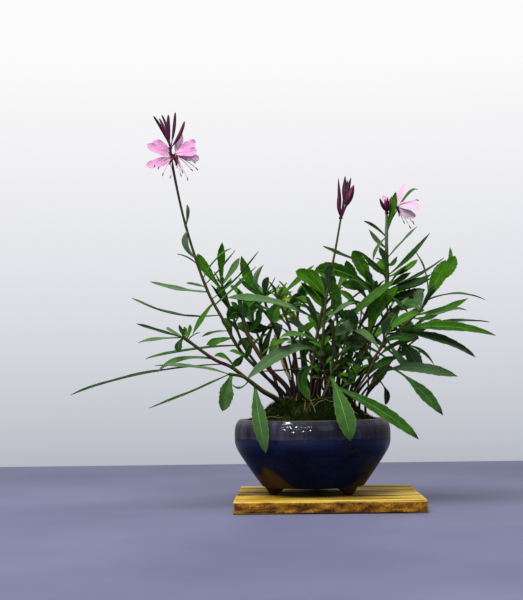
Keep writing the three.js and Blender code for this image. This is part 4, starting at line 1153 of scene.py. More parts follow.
def petal_look(tree):
    """Orchid pink with deeper veins, a pale claw and purplish edges; first mark: how pale the petal is, which on
    petals turned to the front is painted light shining through them.
    """
    found = veins(tree, Midrib=0.06, Count=1.4, Slant=3.4, Fineness=0.4)
    clouds = mottle(tree, Scale=240, Low=0.32, High=0.68)
    claw = maths(tree, "SUBTRACT", 1, soft_step(tree, found["Along"], 0.05, 0.3))
    colour = layered(
        tree, blend_colours(tree, clouds, (0.88, 0.25, 0.60), (0.92, 0.36, 0.70)),
        ((0.94, 0.50, 0.79), soft_step(tree, found["Along"], 0.3, 0.75), 0.45),
        ((0.66, 0.12, 0.42), found["Veins"], 0.14),
        ((0.90, 0.66, 0.76), claw, 0.75),
        ((0.60, 0.09, 0.30), found["Midrib"], 0.45),
        ((0.60, 0.28, 0.50), found["Edge"], 0.25),
        # The first mark's pale pink is partly painted light: on petals turned to the front it stands for light shining
        # through them
        ((0.93, 0.69, 0.82), marks_of(tree)[0]),
    )
    return {
        "Base Color": colour, "Roughness": 0.6, "Specular IOR Level": 0.2,
        "Normal": bump(tree, found["Veins"], 0.25, 0.0001),
    }


def filament_look(tree):
    """Marks: pinkness, and how far it is an anther."""
    pink, anther, _ = marks_of(tree)
    grains = mottle(tree, Scale=1800, Low=0.35, High=0.65)
    pollen = blend_colours(tree, grains, (0.055, 0.045, 0.04), (0.2, 0.17, 0.11))
    colour = layered(tree, (0.80, 0.56, 0.64), ((0.62, 0.16, 0.30), pink), (pollen, anther))
    return {"Base Color": colour, "Roughness": 0.6}


def bud_look(tree):
    """Dark maroon with a purple middle; marks: part of the length, redness, how light it is."""
    along, red, tone = marks_of(tree)
    streaks = mottle(tree, Scale=900, Stretch_Z=0.2, Low=0.35, High=0.65)
    colour = steps(tree, along, [
        (0.0, (0.045, 0.004, 0.014)), (0.3, (0.080, 0.001, 0.026)), (0.6, (0.070, 0.002, 0.030)),
        (0.82, (0.035, 0.004, 0.018)), (0.97, (0.012, 0.006, 0.008)),
    ])
    colour = layered(
        tree, colour,
        ((0.23, 0.020, 0.085), red, 0.9),
        ((0.014, 0.001, 0.010), streaks, 0.7),
        ((0.15, 0.025, 0.085), tone, 0.25),
    )
    return {
        "Base Color": colour, "Roughness": 0.42, "Specular IOR Level": 0.3,
        "Normal": bump(tree, streaks, 0.4, 0.00015),
    }


def moss_look(tree):
    """Marks: part of the way to the tip, brightness of the tuft, dryness."""
    tip, bright, dry = marks_of(tree)
    patches = mottle(tree, Scale=120, Low=0.35, High=0.65)
    fuller = maths(tree, "MULTIPLY", tip, maths(tree, "ADD", bright, maths(tree, "MULTIPLY", patches, 0.4)))
    colour = steps(tree, fuller, [
        (0.0, (0.002, 0.004, 0.001)), (0.4, (0.010, 0.022, 0.002)), (1.0, (0.11, 0.15, 0.012)),
    ])
    colour = blend_colours(tree, dry, colour, (0.2, 0.13, 0.04))
    return {"Base Color": colour, "Roughness": 0.85, "Specular IOR Level": 0.05}


def soil_look(tree):
    grains = mottle(tree, Scale=700, Low=0.35, High=0.65)
    colour = blend_colours(tree, grains, (0.012, 0.007, 0.004), (0.06, 0.036, 0.02))
    return {"Base Color": colour, "Roughness": 0.95, "Normal": bump(tree, grains, 1, 0.0006)}


def glaze_look(tree):
    """Navy glaze with a painted reflection of the room on the shoulder, a greyer streaked band, and brown where the
    glaze is thin. First mark: how thin it is.
    """
    height = split(tree, place_of(tree))[2]
    runs_and_reflection_streaks = mottle(tree, Scale=170, Stretch_Z=0.22, Low=0.35, High=0.68)
    broad = mottle(tree, Scale=75, Stretch_Z=0.15, Low=0.4, High=0.62)
    drift = mottle(tree, Scale=45, Low=0.3, High=0.7)
    specks = mottle(tree, Scale=1500, Low=0.58, High=0.72)
    dimples = mottle(tree, Scale=420, Low=0.3, High=0.7)
    # Painted reflection: the greyer shoulder band, its streaks and its darker patches stand for the room and its
    # windows mirrored in the glaze
    edge = maths(tree, "ADD", height, maths(tree, "MULTIPLY", runs_and_reflection_streaks, 0.0006))
    shoulder = blend_colours(tree, runs_and_reflection_streaks, (0.014, 0.014, 0.028), (0.074, 0.070, 0.104))
    shoulder = layered(tree, shoulder, ((0.008, 0.008, 0.016), broad, 0.7))
    iron = blend_colours(tree, drift, (0.026, 0.012, 0.007), (0.090, 0.056, 0.026))
    colour = layered(
        tree, blend_colours(tree, drift, (0.0014, 0.0036, 0.021), (0.004, 0.012, 0.066)),
        (shoulder, soft_step(tree, edge, *SHOULDER_REFLECTION_BAND)),
        (iron, soft_step(tree, uneven(tree, marks_of(tree)[0], runs_and_reflection_streaks, 0.25), 0.4, 1.0)),
        ((0.060, 0.045, 0.038), soft_step(tree, height, *GLAZE_LIP)),
        ((0.10, 0.085, 0.09), specks, 0.3),
    )
    relief = maths(tree, "ADD", drift, maths(tree, "MULTIPLY", dimples, 0.18))
    return {
        "Base Color": colour,
        "Roughness": blend_colours(tree, soft_step(tree, height, *GLAZE_SMOOTHER), (0.32,) * 3, (0.07,) * 3),
        "Specular IOR Level": blend_colours(tree, soft_step(tree, height, *GLAZE_SHINIER), (0.03,) * 3, (0.3,) * 3),
        "Normal": bump(tree, relief, 0.2, 0.0006),
    }


def board_look(tree):
    """Ochre stained wood; the marks say how deep the grain is, where the edge is, and where the sides are."""
    groove, edge, flank = marks_of(tree)
    fine = mottle(tree, Scale=160, Stretch_X=0.05, Stretch_Y=3, Low=0.3, High=0.7)
    clouds = mottle(tree, Scale=60, Stretch_X=0.4, Low=0.35, High=0.65)
    blots = mottle(tree, Scale=230, Stretch_X=0.45, Low=0.35, High=0.65)
    specks = mottle(tree, Scale=900, Low=0.5, High=0.66)
    rough = layered(
        tree, blend_colours(tree, blots, (0.10, 0.026, 0.002), (0.64, 0.29, 0.014)),
        ((0.040, 0.012, 0.002), specks, 0.75),
        ((0.030, 0.008, 0.004), groove),
    )
    colour = layered(
        tree, blend_colours(tree, clouds, (0.56, 0.33, 0.022), (0.92, 0.66, 0.12)),
        ((0.30, 0.14, 0.008), fine, 0.4),
        ((0.022, 0.009, 0.003), groove),
        (rough, flank),
        ((0.78, 0.50, 0.12), edge, soft_step(tree, blots, 0.1, 0.7)),
    )
    relief = maths(tree, "ADD", fine, maths(tree, "MULTIPLY", blots, maths(tree, "MULTIPLY", flank, 2)))
    return {
        "Base Color": colour, "Roughness": 0.6, "Specular IOR Level": 0.12,
        "Normal": bump(tree, relief, 0.6, 0.0004),
    }


def table_look(tree):
    # The large darker clouds are painted shadow: soft shadows lying across the table top
    clouds = mottle(tree, Scale=6, Low=0.3, High=0.7)
    return {"Base Color": blend_colours(tree, clouds, (0.122, 0.130, 0.226), (0.178, 0.188, 0.308)), "Roughness": 0.55}


LEAF_SKIN = material_of("leaf green", leaf_look)
STEM_SKIN = material_of("stem", stem_look)
DRY_SKIN = material_of("dry stalk", dry_look)
PETAL_SKIN = material_of("petal pink", petal_look)
FILAMENT_SKIN = material_of("filament", filament_look)
BUD_SKIN = material_of("bud maroon", bud_look)
MOSS_SKIN = material_of("moss", moss_look)
GLAZE = material_of("navy glaze", glaze_look)
OCHRE_WOOD = material_of("ochre wood", board_look)

BROAD_BLADE = blade_master("broad blade", 8, 42)
NARROW_BLADE = blade_master("narrow blade", 4, 18)
STALK = stalk_master("stalk", 10, 40)
THREAD = stalk_master("thread", 6, 8)
BUD_BODY = bud_master("bud body", 12, 24)
MASTERS = [BROAD_BLADE, NARROW_BLADE, STALK, THREAD, BUD_BODY]


# The board


def grain_depth(x, y):
    """How deep the grain is cut at a place on the board, from 0 to 1."""
    swing = noise.noise(Vector((x * 0.014, y * 0.05, 3.1))) * 5
    lines = noise.noise(Vector((x * 0.014, (y + swing) * 0.17, 0.7)))
    threads = noise.noise(Vector((x * 0.02, (y + swing) * 0.8, 5.2)))
    return held((lines - 0.10) * 4 + 0.8 * max(0, threads - 0.2))


def make_board():
    """A slab with soft corners, its top cut along the grain and its sides left rough."""
    bpy.ops.mesh.primitive_cube_add(size=1, location=(0, 0, BOARD_THICK / 2))
    board = bpy.context.object
    with edit_mode():
        bpy.ops.transform.resize(value=(BOARD_SIDE, BOARD_SIDE, BOARD_THICK))
        bpy.ops.mesh.bevel(offset=BOARD_BEVEL, segments=3)
        for plane, cuts in BOARD_CUTS:
            for k in range(1, cuts):
                cut(Vector(plane) * (BOARD_SIDE * (k / cuts - 0.5)), plane)
        for height in BOARD_LEVELS:
            cut((0, 0, height), (0, 0, 1))
    settle(board)
    turn = Matrix.Rotation(math.radians(BOARD_TURN), 4, "Z")
    reach = BOARD_SIDE / 2
    places, marks = [], []
    for x, y, z in corners_of(board).tolist():
        depth = grain_depth(x, y)
        inward = reach - max(abs(x), abs(y))
        corner = reach - min(abs(x), abs(y))
        flank = inward < BOARD_SKIN_DEPTH
        if z > BOARD_THICK - BOARD_SKIN_DEPTH:
            z -= GRAIN_DEPTH * depth
        chipped = noise.noise(Vector((x * 0.22, y * 0.22, z * 0.35)))
        chipped += 0.5 * noise.noise(Vector((x * 0.7, y * 0.7, z * 0.9)))
        lost = max(0, 0.3 + 0.4 * chipped)
        x, y = (v - math.copysign(lost * max(0, 1 - (reach - abs(v)) / WORN_EDGE), v) for v in (x, y))
        if flank:
            knots = (math.exp(-((x + knot) ** 2) - (z - high) ** 2 / 1.4) for knot, high in BOARD_KNOTS)
            depth = sum(knots) if y < 0 else 0
        if corner < BOARD_CORNER:
            inside = Vector([math.copysign(reach - BOARD_CORNER, v) for v in (x, y)])
            away = Vector((x, y)) - inside
            x, y = inside + away.normalized() * max(abs(away.x), abs(away.y))
        edge = not flank and inward < 1.0 and z > 3
        places.append(turn @ Vector((x, y, z)) + Vector((BOARD_SHIFT, 0, 0)))
        marks.append((depth, edge, flank))
    shape(board, places, marks)
    return fit(joined("display_board", [board]), OCHRE_WOOD, "board_wood", "board", angle=35)


# The bowl


def bowl_line(side, count):
    """Places on the bowl's side, from its steps in from the radius."""
    points = [Vector((BOWL_RADIUS - step, 0, height)) for step, height in side]
    return [on_line(points, k / count) for k in range(count + 1)]


def brown_at(azimuth, height):
    """How far the glaze is thin enough to show brown: round the feet, and higher at the sides."""
    reach = -1.0
    for middle, spread, top in BROWN_PATCHES:
        off = (math.degrees(azimuth) - middle + 180) % 360 - 180
        reach = max(reach, (BOWL_UNDERSIDE + top * math.exp(-((off / spread) ** 2)) - height) / BROWN_SOFTNESS)
    return held(0.5 + reach)


def make_bowl():
    """A turned bowl with a rounded lip and a drain hole, and its three feet."""
    crest = Vector((BOWL_RADIUS - BOWL_RIM_CREST, 0, BOWL_RIM_TOP))
    outline = [Vector((DRAIN_RADIUS, 0, BOWL_UNDERSIDE)), *bowl_line(BOWL_SIDE, BOWL_STEPS_OUTSIDE)]
    inside = bowl_line(BOWL_INSIDE, BOWL_STEPS_INSIDE)
    lip = [outline[-1], crest, inside[0]]
    outline += [on_arc(lip, part) for part in (0.2, 0.4, 0.6, 0.8)]
    outline += [*inside, Vector((DRAIN_RADIUS, 0, BOWL_FLOOR_TOP))]
    bpy.ops.mesh.primitive_plane_add(size=1, location=outline[0])
    bowl = bpy.context.object
    with edit_mode():
        bpy.ops.mesh.merge(type="CENTER")
        for before, after in zip(outline, outline[1:] + outline[:1]):
            bpy.ops.mesh.extrude_region_move(TRANSFORM_OT_translate={"value": after - before})
        bpy.ops.mesh.select_all(action="SELECT")
        bpy.ops.mesh.remove_doubles(threshold=0.001)
        bpy.ops.mesh.spin(steps=BOWL_SPIN_STEPS, angle=2 * math.pi, center=(0, 0, 0), axis=(0, 0, 1))
        bpy.ops.mesh.select_all(action="SELECT")
        bpy.ops.mesh.remove_doubles(threshold=0.001)
        bpy.ops.mesh.normals_make_consistent(inside=False)
    settle(bowl)
    whole = joined("glazed_bowl", [bowl, *(make_foot(azimuth) for azimuth in FOOT_AZIMUTHS)])
    corners = corners_of(whole).tolist()
    shape(whole, corners, [(brown_at(math.atan2(y, x), z), 0, 0) for x, y, z in corners])
    return fit(whole, GLAZE, "bowl_glaze", "bowl", angle=50)


def wall_radius(height):
    """Radius of the bowl's outside at a height near its foot."""
    (low_step, low), (high_step, high) = BOWL_SIDE[:2]
    return BOWL_RADIUS - low_step + (low_step - high_step) * max(height - low, 0) / (high - low)


def make_foot(azimuth):
    """A wedge that carries the bowl's side down to a small sole, still in millimetres."""
    rise = FOOT_TOP - BOARD_THICK
    middle = (0, 0, BOARD_THICK + rise / 2)
    bpy.ops.mesh.primitive_cylinder_add(vertices=40, radius=1, depth=rise, location=middle)
    foot = bpy.context.object
    with edit_mode():
        for k in range(1, 12):
            cut((0, 0, BOARD_THICK + rise * k / 12), (0, 0, 1))
    settle(foot)
    turn = Matrix.Rotation(math.radians(azimuth), 4, "Z")
    places = []
    for x, y, z in corners_of(foot).tolist():
        part = max(0, (z - BOARD_THICK) / rise)
        rounding = 1 - 0.12 * max(0, 1 - part * 12)
        outer = FOOT_TOE + (wall_radius(FOOT_TOP) - FOOT_INSET - FOOT_TOE) * part
        inner = FOOT_HEEL - FOOT_HEEL_SLANT * part
        half = FOOT_HALF_WIDTH + FOOT_SPREAD * min(part, FOOT_SPREAD_END)
        spot = Vector(((outer + inner) / 2 + x * (outer - inner) / 2 * rounding, y * half * rounding, z))
        limit = wall_radius(z) + 0.35 * (1 - part) if z > BOWL_UNDERSIDE else 99
        away = math.hypot(spot.x, spot.y)
        if away > limit:
            spot.x, spot.y = spot.x * limit / away, spot.y * limit / away
        places.append(turn @ spot)
    return shape(foot, places, unit=1)


# Moss


def moss_height(radius, azimuth):
    """Height of the mound at a place, with the low cushions of the solid."""
    outline = [(BOWL_RADIUS - r, z) for r, z in MOSS_SIDE]
    height = outline_at(outline, BOWL_RADIUS - radius)
    if radius < MOSS_FIRM_RADIUS:
        height += 0.9 * math.sin(5 * azimuth + radius * 0.25) * math.sin(radius * 0.21)
    return height


def moss_patch_master():
    """A small patch of pointed threads that lean every way."""
    dice = random.Random(11)
    threads = []
    for _ in range(PATCH_THREADS):
        tall = dice.uniform(1.2, 2.6)
        bpy.ops.mesh.primitive_cone_add(vertices=3, radius1=dice.uniform(0.13, 0.2), radius2=0, depth=tall)
        thread = bpy.context.object
        away, azimuth = PATCH_RADIUS * math.sqrt(dice.random()), dice.uniform(0, 2 * math.pi)
        lean = Matrix.Rotation(math.radians(dice.uniform(5, 55)), 4, "X")
        spin = Matrix.Rotation(dice.uniform(0, 2 * math.pi), 4, "Z")
        stand = Matrix.Translation(polar(away, azimuth, -0.3)) @ spin @ lean
        thread.data.transform(stand @ Matrix.Translation((0, 0, tall / 2)))
        threads.append(thread)
    return joined("moss patch", threads)


def make_moss():
    """The mound: a lumpy skin with patches of threads set all over it."""
    bpy.ops.mesh.primitive_uv_sphere_add(segments=96, ring_count=96, radius=1)
    skin = bpy.context.object
    places, marks = [], []
    for x, y, z in corners_of(skin).tolist():
        azimuth, fall = math.atan2(y, x), math.acos(held(z, -1))
        radius = MOSS_RADIUS * min(fall, math.pi - fall) / (math.pi / 2)
        spot = polar(radius, azimuth, SOIL_TOP)
        lump = noise.noise(spot * 0.45)
        if z > 0.001:
            spot.z = max(moss_height(radius, azimuth) + 0.5 * lump, SOIL_TOP)
        places.append(spot)
        marks.append((0.12 + 0.3 * max(lump, 0), 0.4, 0))
    pieces = [shape(skin, places, marks)]
    dice = random.Random(7)
    master = moss_patch_master()
    pattern = corners_of(master).tolist()
    for k in range(MOSS_PATCHES):
        middle = polar(MOSS_RADIUS * math.sqrt((k + 0.5) / MOSS_PATCHES), math.radians(GOLDEN_ANGLE) * k)
        spin, size = dice.uniform(0, 2 * math.pi), dice.uniform(0.8, 1.2)
        clump = 0.5 + 0.5 * noise.noise(middle * 0.17)
        bright, dry = 0.2 + 1.2 * clump * dice.random(), 0.5 if dice.random() < 0.04 else 0.0
        places, marks = [], []
        for x, y, z in pattern:
            spot = middle + polar(math.hypot(x, y), math.atan2(y, x) + spin)
            away = spot.length
            if away > MOSS_REACH:
                spot *= MOSS_REACH / away
            ground = moss_height(min(away, MOSS_RADIUS), math.atan2(spot.y, spot.x))
            places.append(spot + Vector((0, 0, ground + z * size * (0.7 + 0.6 * clump))))
            marks.append((held(z / 1.8), bright, dry))
        pieces.append(shape(copy_of(master, "patch"), places, marks))
    bpy.data.objects.remove(master)
    return fit(joined("moss_mound", pieces), MOSS_SKIN, "moss", "moss", angle=40)


def make_straws():
    """Thin dry threads that lie about on the moss."""
    dice = random.Random(5)
    straws = []
    for _ in range(STRAWS):
        middle = polar(dice.uniform(4, 35), dice.uniform(0, 2 * math.pi))
        heading, length = dice.uniform(0, 2 * math.pi), dice.uniform(5, 14)
        places = []
        for k in range(4):
            spot = middle + polar((k / 3 - 0.5) * length, heading)
            ground = moss_height(min(spot.length, STRAW_REACH - 1), math.atan2(spot.y, spot.x))
            places.append(spot + Vector((0, 0, ground + dice.uniform(0.9, 2.6))))
        if max(math.hypot(place.x, place.y) for place in places) > STRAW_REACH:
            continue
        line = partial(on_line, places)
        straws.append(lay_stalk(THREAD, line, lambda part: STRAW_RADIUS, lambda part: (0, 0.75, 0)))
    return fit(joined("moss_straws", straws), DRY_SKIN, "dry_stalk")


# The plant


def stem_line(shoot):
    """The line of a stem: up out of its hole in the soil, then along its route."""
    places = [seen(place) for place in shoot["route"]]
    return partial(on_line, [Vector((places[0].x, places[0].y, STEM_FOOT)), *places])


def from_foot(shoot, part):
    """The part of the whole stem line for a part that is counted from the moss up."""
    count = len(shoot["route"])
    return (1 + part * (count - 1)) / count


def looks_of(words, dice):
    """The three marks of a leaf: its look words taken together, a little different for each leaf."""
    tones = [LOOKS[word] for word in words.split() if word in LOOKS] or [LOOKS[""]]
    tone, grey, brown = (sum(values) / len(tones) for values in zip(*tones))
    if "brown" in words:
        brown = 1.0
    tone += dice.uniform(-0.12, 0.12)
    return tone, max(grey + dice.uniform(-0.1, 0.1), 0), brown * dice.uniform(0.6, 1)


def leaf_kind(width):
    """Which blade and form a leaf of a width is laid with."""
    return (BROAD_BLADE, LEAF_FORM) if width >= WIDE_LEAF else (NARROW_BLADE, SLIM_FORM)


def free_ends(root, azimuth, rise, length):
    """Root, middle and tip of a leaf that leaves its stem at an azimuth and a rise."""
    out = direction(azimuth, rise)
    middle = root + out * (0.52 * length) + Vector((0, 0, LEAF_BOW * length))
    return root, middle, root + out * length - Vector((0, 0, LEAF_DROOP * length))


def make_leaves(shoot):
    """A shoot's leaves: those with places of their own, then its spray and its tuft of young ones."""
    name, line = shoot["name"], stem_line(shoot)
    dice = random.Random(name)
    leaves = []

    def add(kind, ends, width, turn, words, label):
        looks = looks_of(words, dice)
        leaves.append(lay_blade(kind[0], ends, width, turn, kind[1], looks, name + label))

    own = [*shoot.get("leaves", []), *MORE_LEAVES.get(name, [])]
    for k, (part, middle, tip, width, turn, words) in enumerate(own):
        kind = (BROAD_BLADE, STALKED_FORM) if "stalked" in words else leaf_kind(width)
        ends = (line(from_foot(shoot, part)), seen(middle), seen(tip))
        add(kind, ends, width * FULLNESS, turn, words, str(k))
    if "spray" in shoot:
        count, start, end, length, width, first, rise = shoot["spray"]
        for k in range(count):
            root = line(from_foot(shoot, start + (end - start) * k / (count - 1)))
            age = k / count
            reach = length * (1 - SPRAY_SHRINK * age)
            ends = free_ends(root, first + k * GOLDEN_ANGLE, rise + SPRAY_LIFT * age, reach)
            add(leaf_kind(width), ends, width * FULLNESS, SPRAY_TURN, dice.choice(SPRAY_LOOKS), "spray" + str(k))
    if "tuft" in shoot:
        count, length, first = shoot["tuft"]
        for k in range(count):
            root = line(from_foot(shoot, 1 - TUFT_STEP * (count - 1 - k)))
            age = k / count
            reach = length * (1 - TUFT_SHRINK * age)
            ends = free_ends(root, first + k * GOLDEN_ANGLE, TUFT_RISE + TUFT_LIFT * age, reach)
            add((NARROW_BLADE, YOUNG_FORM), ends, TUFT_WIDTH, 0, "young", "tuft" + str(k))
    return leaves


def make_shoot(shoot):
    """A stem, swollen where its leaves stand and darkened with painted shade at the moss, and its leaves."""
    name, red = shoot["name"], shoot["red"]
    foot, top = shoot["girth"]
    joints = [from_foot(shoot, leaf[0]) for leaf in shoot.get("leaves", [])]
    count = len(shoot["route"])
    bloomed = name == "left_flower_stem"
    pale_from = 0.7 if name == "right_flower_stem" else 2
    fuller = STEM_FULLNESS * GIRTHS.get(name, 1)

    def radius_at(part):
        swell = sum(math.exp(-(((part - joint) / JOINT_SPREAD) ** 2)) for joint in joints)
        neck = 0.28 * max(0, 1 - abs(part - 0.95) / 0.16) if bloomed else 0
        return (foot + (top - foot) * part) * fuller * (1 + JOINT_SWELL * min(swell, 1)) + neck

    def marks_at(part):
        up = (part * count - 1) / (count - 1)
        fall = max(0, 1 - max(up, 0) / 0.9)
        # Painted shade: the stem darkens to near black towards the moss, where the leaves shade it
        dark = max(0, 1 - max(up, 0) / 0.3) ** 0.8
        if bloomed:
            dark = max(dark, held((up - 0.5) / 0.5, high=0.75))
        middle, spread = CRIMSON.get(name, (0, 0.01))
        crimson = 0.95 * math.exp(-(((up - middle) / spread) ** 2))
        return max(red * (0.35 + 0.45 * fall), crimson), dark, held((up - pale_from) / 0.2)

    stalk = lay_stalk(STALK, stem_line(shoot), radius_at, marks_at)
    fit(joined(name + "_stalk", [stalk]), STEM_SKIN, "leaf", name)
    leaves = make_leaves(shoot)
    if leaves:
        fit(joined(name + "_leaves", leaves), LEAF_SKIN, "leaf", name)


def make_twigs():
    """Thin side shoots with small leaves in the middle, darkened with painted shade at their feet, and stubs of old
    stems between them, painted near black for the shade among the stems.
    """
    twigs, leaves = [], []
    dice = random.Random(19)
    for foot, middle, top, radius, red in TWIGS:
        line = partial(on_arc, (seen(foot), seen(middle), seen(top)))
        if TWIG_LEAF_BAND[0] < foot[0] < TWIG_LEAF_BAND[1]:
            first = dice.uniform(0, 360)
            for k in range(TWIG_LEAVES):
                azimuth = first + k * GOLDEN_ANGLE
                free = free_ends(line(0.4 + 0.14 * k), azimuth, dice.uniform(15, 55), dice.uniform(7, 12))
                looks = looks_of(dice.choice(TWIG_LOOKS), dice)
                width = dice.uniform(2.6, 4.2)
                leaves.append(lay_blade(NARROW_BLADE, free, width, TWIG_LEAF_TURN, YOUNG_FORM, looks, dice.random()))
        twigs.append(lay_stalk(
            THREAD, line, lambda part, radius=radius: radius * (1 - 0.35 * part),
            # Painted shade: each twig darkens towards its foot in the moss
            lambda part, red=red: (red, 0.9 * max(0, 1 - part / 0.45), 0),
        ))
    for _ in range(STUBS):
        x, y = dice.uniform(*STUB_X), dice.uniform(*STUB_Y)
        rings = ((1, 56), (1.03, 63), (1.1, dice.uniform(*STUB_TOP)))
        line = partial(on_arc, [Vector((x * spread, y * spread, z)) for spread, z in rings])
        # The stubs are painted near black: painted shade down among the stems
        twigs.append(lay_stalk(THREAD, line, lambda part: 1.1 - 0.3 * part, lambda part: (0.5, 1 - 0.3 * part, 0)))
    fit(joined("side_twigs", twigs), STEM_SKIN, "leaf")
    fit(joined("side_twig_leaves", leaves), LEAF_SKIN, "leaf")


def make_dry_stalk(shoot):
    """A bare reed with one thick joint."""
    foot, top = shoot["girth"]
    stalk = lay_stalk(
        STALK, stem_line(shoot),
        lambda part: (foot + (top - foot) * part) * 1.05 * (1 + 0.35 * math.exp(-(((part - 0.72) / 0.02) ** 2))),
        lambda part: (part, 0, 0),
    )
    fit(joined("dry_stalk_reed", [stalk]), DRY_SKIN, "dry_stalk", "dry_stalk")


def upright(middle, half_height):
    """A short line straight up through a place."""
    return lambda part: middle + Vector((0, 0, half_height * (2 * part - 1)))


def make_bloom(bloom, shoot):
    """An open flower: its tube, petals, turned-back sepals, long stamens and their anthers."""
    name = bloom["name"]
    dice = random.Random(name)
    heart = seen(bloom["centre"])
    stem = stem_line(shoot)(bloom["tube_foot"])
    pale = 0.55 if name == "right_bloom" else 0.08
    petals = []
    for k, (middle, tip, width, turn) in enumerate(bloom["petals"]):
        # Petals turned to the front are made paler: painted light, for the light from above that shines through them
        looks = (pale + dice.uniform(0, 0.12) + max(0, turn - 70) / 25, 0, 0)
        ends = (heart, seen(middle), seen(tip))
        petals.append(lay_blade(BROAD_BLADE, ends, width, turn, PETAL_FORM, looks, name + str(k)))
    fit(joined(name + "_petals", petals), PETAL_SKIN, "petal", name)

    threads = []
    for tip in bloom["stamens"]:
        end = seen(tip)
        bow = heart.lerp(end, 0.5) + Vector((dice.uniform(-0.6, 0.6), -1, 1))
        threads.append(lay_stalk(
            THREAD, partial(on_arc, (heart, (heart + end + 2 * bow) / 4, end)),
            lambda part: 0.3 - 0.1 * part, lambda part: (0.9 * (1 - part) ** 2, 0, 0),
        ))
        swing = Vector((dice.uniform(-0.5, 0.5), dice.uniform(-0.4, 0.4), dice.uniform(-1, -0.2)))
        hang = ((end - heart).normalized() + swing).normalized() * ANTHER_HALF
        anther = partial(on_line, [end - hang, end + hang])
        threads.append(lay_bud(anther, ANTHER_WIDTH, ANTHER, lambda part: (0, 1, 0)))
    fit(joined(name + "_stamens", threads), FILAMENT_SKIN, "petal")

    core = upright(heart + Vector((0, 0.4, 0)), BLOOM_CORE[0])
    green = [
        lay_stalk(THREAD, partial(stem.lerp, heart), lambda part: 0.55 + 0.3 * part, lambda part: (0.35, 0, 0)),
        lay_bud(core, BLOOM_CORE[1], CORE, lambda part: (0.5, 1, 1)),
    ]
    for k in range(4):
        turn = math.radians(45 + 90 * k + dice.uniform(-15, 15))
        drop = dice.uniform(*SEPAL_DROP)
        ends = (heart, heart + polar(SEPAL_OUT, turn, -0.45 * drop), heart + polar(1.3 * SEPAL_OUT, turn, -drop))
        seed = name + "sepal" + str(k)
        green.append(lay_blade(NARROW_BLADE, ends, SEPAL_WIDTH, 60, SEPAL_FORM, (0.45, 0.3, 0), seed))
    fit(joined(name + "_calyx", green), BUD_SKIN, "bud")


def make_bud_head(head):
    """A head of closed buds on short feet, round a small core."""
    name = head["name"]
    foot = seen(head["foot"])
    dice = random.Random(name)
    bodies = [lay_bud(upright(foot, BUD_CORE[0]), BUD_CORE[1], CORE, lambda part: (0.1, 0, 0))]
    outline = BUD if name == "left_bud_head" else SHARP_BUD
    for middle, tip, width, start, red in head["buds"]:
        body = [(start + (1 - start) * part, half) for part, half in outline]
        tone = dice.uniform(0, 1)
        bodies.append(lay_bud(
            partial(on_arc, (foot, seen(middle), seen(tip))), width, [(0, 0), (0.02, BUD_FOOT), *body],
            lambda part, red=red, tone=tone: (part, red, tone), seams=0.09,
        ))
    fit(joined(name + "_buds", bodies), BUD_SKIN, "bud", name)


def make_soil():
    """The soil keeps its solid, with a crumbly dark finish."""
    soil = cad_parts["soil"]
    soil.data.materials.clear()
    soil.data.materials.append(material_of("soil", soil_look))


# The room


def make_room():
    bpy.ops.mesh.primitive_plane_add(size=1)
    table = bpy.context.object
    table.name = "table_top"
    for corner in table.data.vertices:
        back = TABLE_NEAR + (corner.co.y + 0.5) * TABLE_DEPTH
        corner.co = Vector((corner.co.x * TABLE_WIDTH, back, -TABLE_DROP))
    table.data.materials.append(material_of("table grey", table_look))


def make_light(name, place, size, power, glossy=True, diffuse=True):
    """A square lamp that points at the middle of the plant."""
    data = bpy.data.lights.new(name, "AREA")
    data.size = size
    data.energy = power
    light = bpy.data.objects.new(name, data)
    light.visible_glossy = glossy
    light.visible_diffuse = diffuse
    light.location = place
    light.rotation_euler = (LAMP_AIM - place).to_track_quat("-Z", "Y").to_euler()
    bpy.context.collection.objects.link(light)


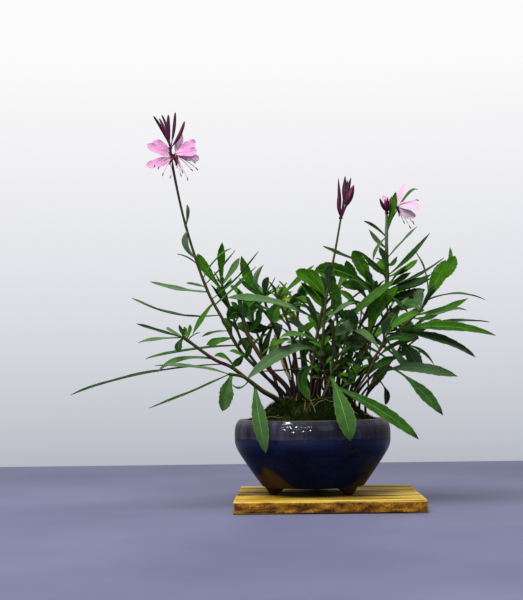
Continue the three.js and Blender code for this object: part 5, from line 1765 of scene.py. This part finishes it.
def make_world():
    """A pale wall that darkens towards the table, and soft room light from above for all else."""
    world = bpy.data.worlds.new("studio")
    world.use_nodes = True
    bpy.context.scene.world = world
    tree = world.node_tree
    _, back, rise = split(tree, place_of(tree, "Generated"))
    wall = steps(tree, soft_step(tree, rise, -0.07, 0.31, "LINEAR"), [
        (0.0, (0.46, 0.475, 0.53)), (0.07, (0.53, 0.545, 0.60)), (0.25, (0.66, 0.675, 0.73)),
        (0.4, (0.75, 0.76, 0.80)), (0.62, (0.86, 0.86, 0.885)), (0.85, (0.955, 0.955, 0.955)),
        (1.0, (0.97, 0.97, 0.97)),
    ])
    room = steps(tree, soft_step(tree, rise, -0.3, 1.0, "LINEAR"), [
        (0.0, (0.09, 0.09, 0.10)), (0.25, (0.175, 0.175, 0.185)), (0.5, (0.44, 0.44, 0.445)),
        (1.0, (0.77, 0.77, 0.775)),
    ])
    behind = soft_step(tree, back, -0.6, 0.5, "LINEAR")
    room = blend_colours(tree, behind, blend_colours(tree, 0.65, room, (0.05, 0.05, 0.07)), room)
    straight = node(tree, "ShaderNodeLightPath").outputs["Is Camera Ray"]
    feed(tree, tree.nodes["Background"].inputs["Color"], blend_colours(tree, straight, room, wall))


def make_camera():
    data = bpy.data.cameras.new("camera")
    data.lens = EYE_LENS
    data.clip_start = 0.01
    camera = bpy.data.objects.new("camera", data)
    pitch = Matrix.Rotation(math.radians(90 + EYE_PITCH), 4, "X")
    roll = Matrix.Rotation(math.radians(-EYE_ROLL), 4, "Z")
    camera.matrix_world = Matrix.Translation(EYE * MM) @ pitch @ roll
    bpy.context.collection.objects.link(camera)
    bpy.context.scene.camera = camera


bpy.context.scene.view_settings.view_transform = "Standard"
make_camera()
make_world()
make_room()
make_light("overhead", Vector((-0.25, -0.45, 1.2)), 0.7, 18, glossy=False)
for k, (left, up, size, power) in enumerate(LAMPS):
    make_light("lamp " + str(k + 1), direction(270 - left, up) * LAMP_DISTANCE, size, power, diffuse=False)

make_board()
make_bowl()
make_soil()
make_moss()
make_straws()
for shoot in SHOOTS:
    if shoot["name"] == "dry_stalk":
        make_dry_stalk(shoot)
    else:
        make_shoot(shoot)
for bloom in BLOOMS:
    make_bloom(bloom, next(shoot for shoot in SHOOTS if shoot["name"] == bloom["stem"]))
for head in BUD_HEADS:
    make_bud_head(head)
make_twigs()
for master in MASTERS:
    bpy.data.objects.remove(master)
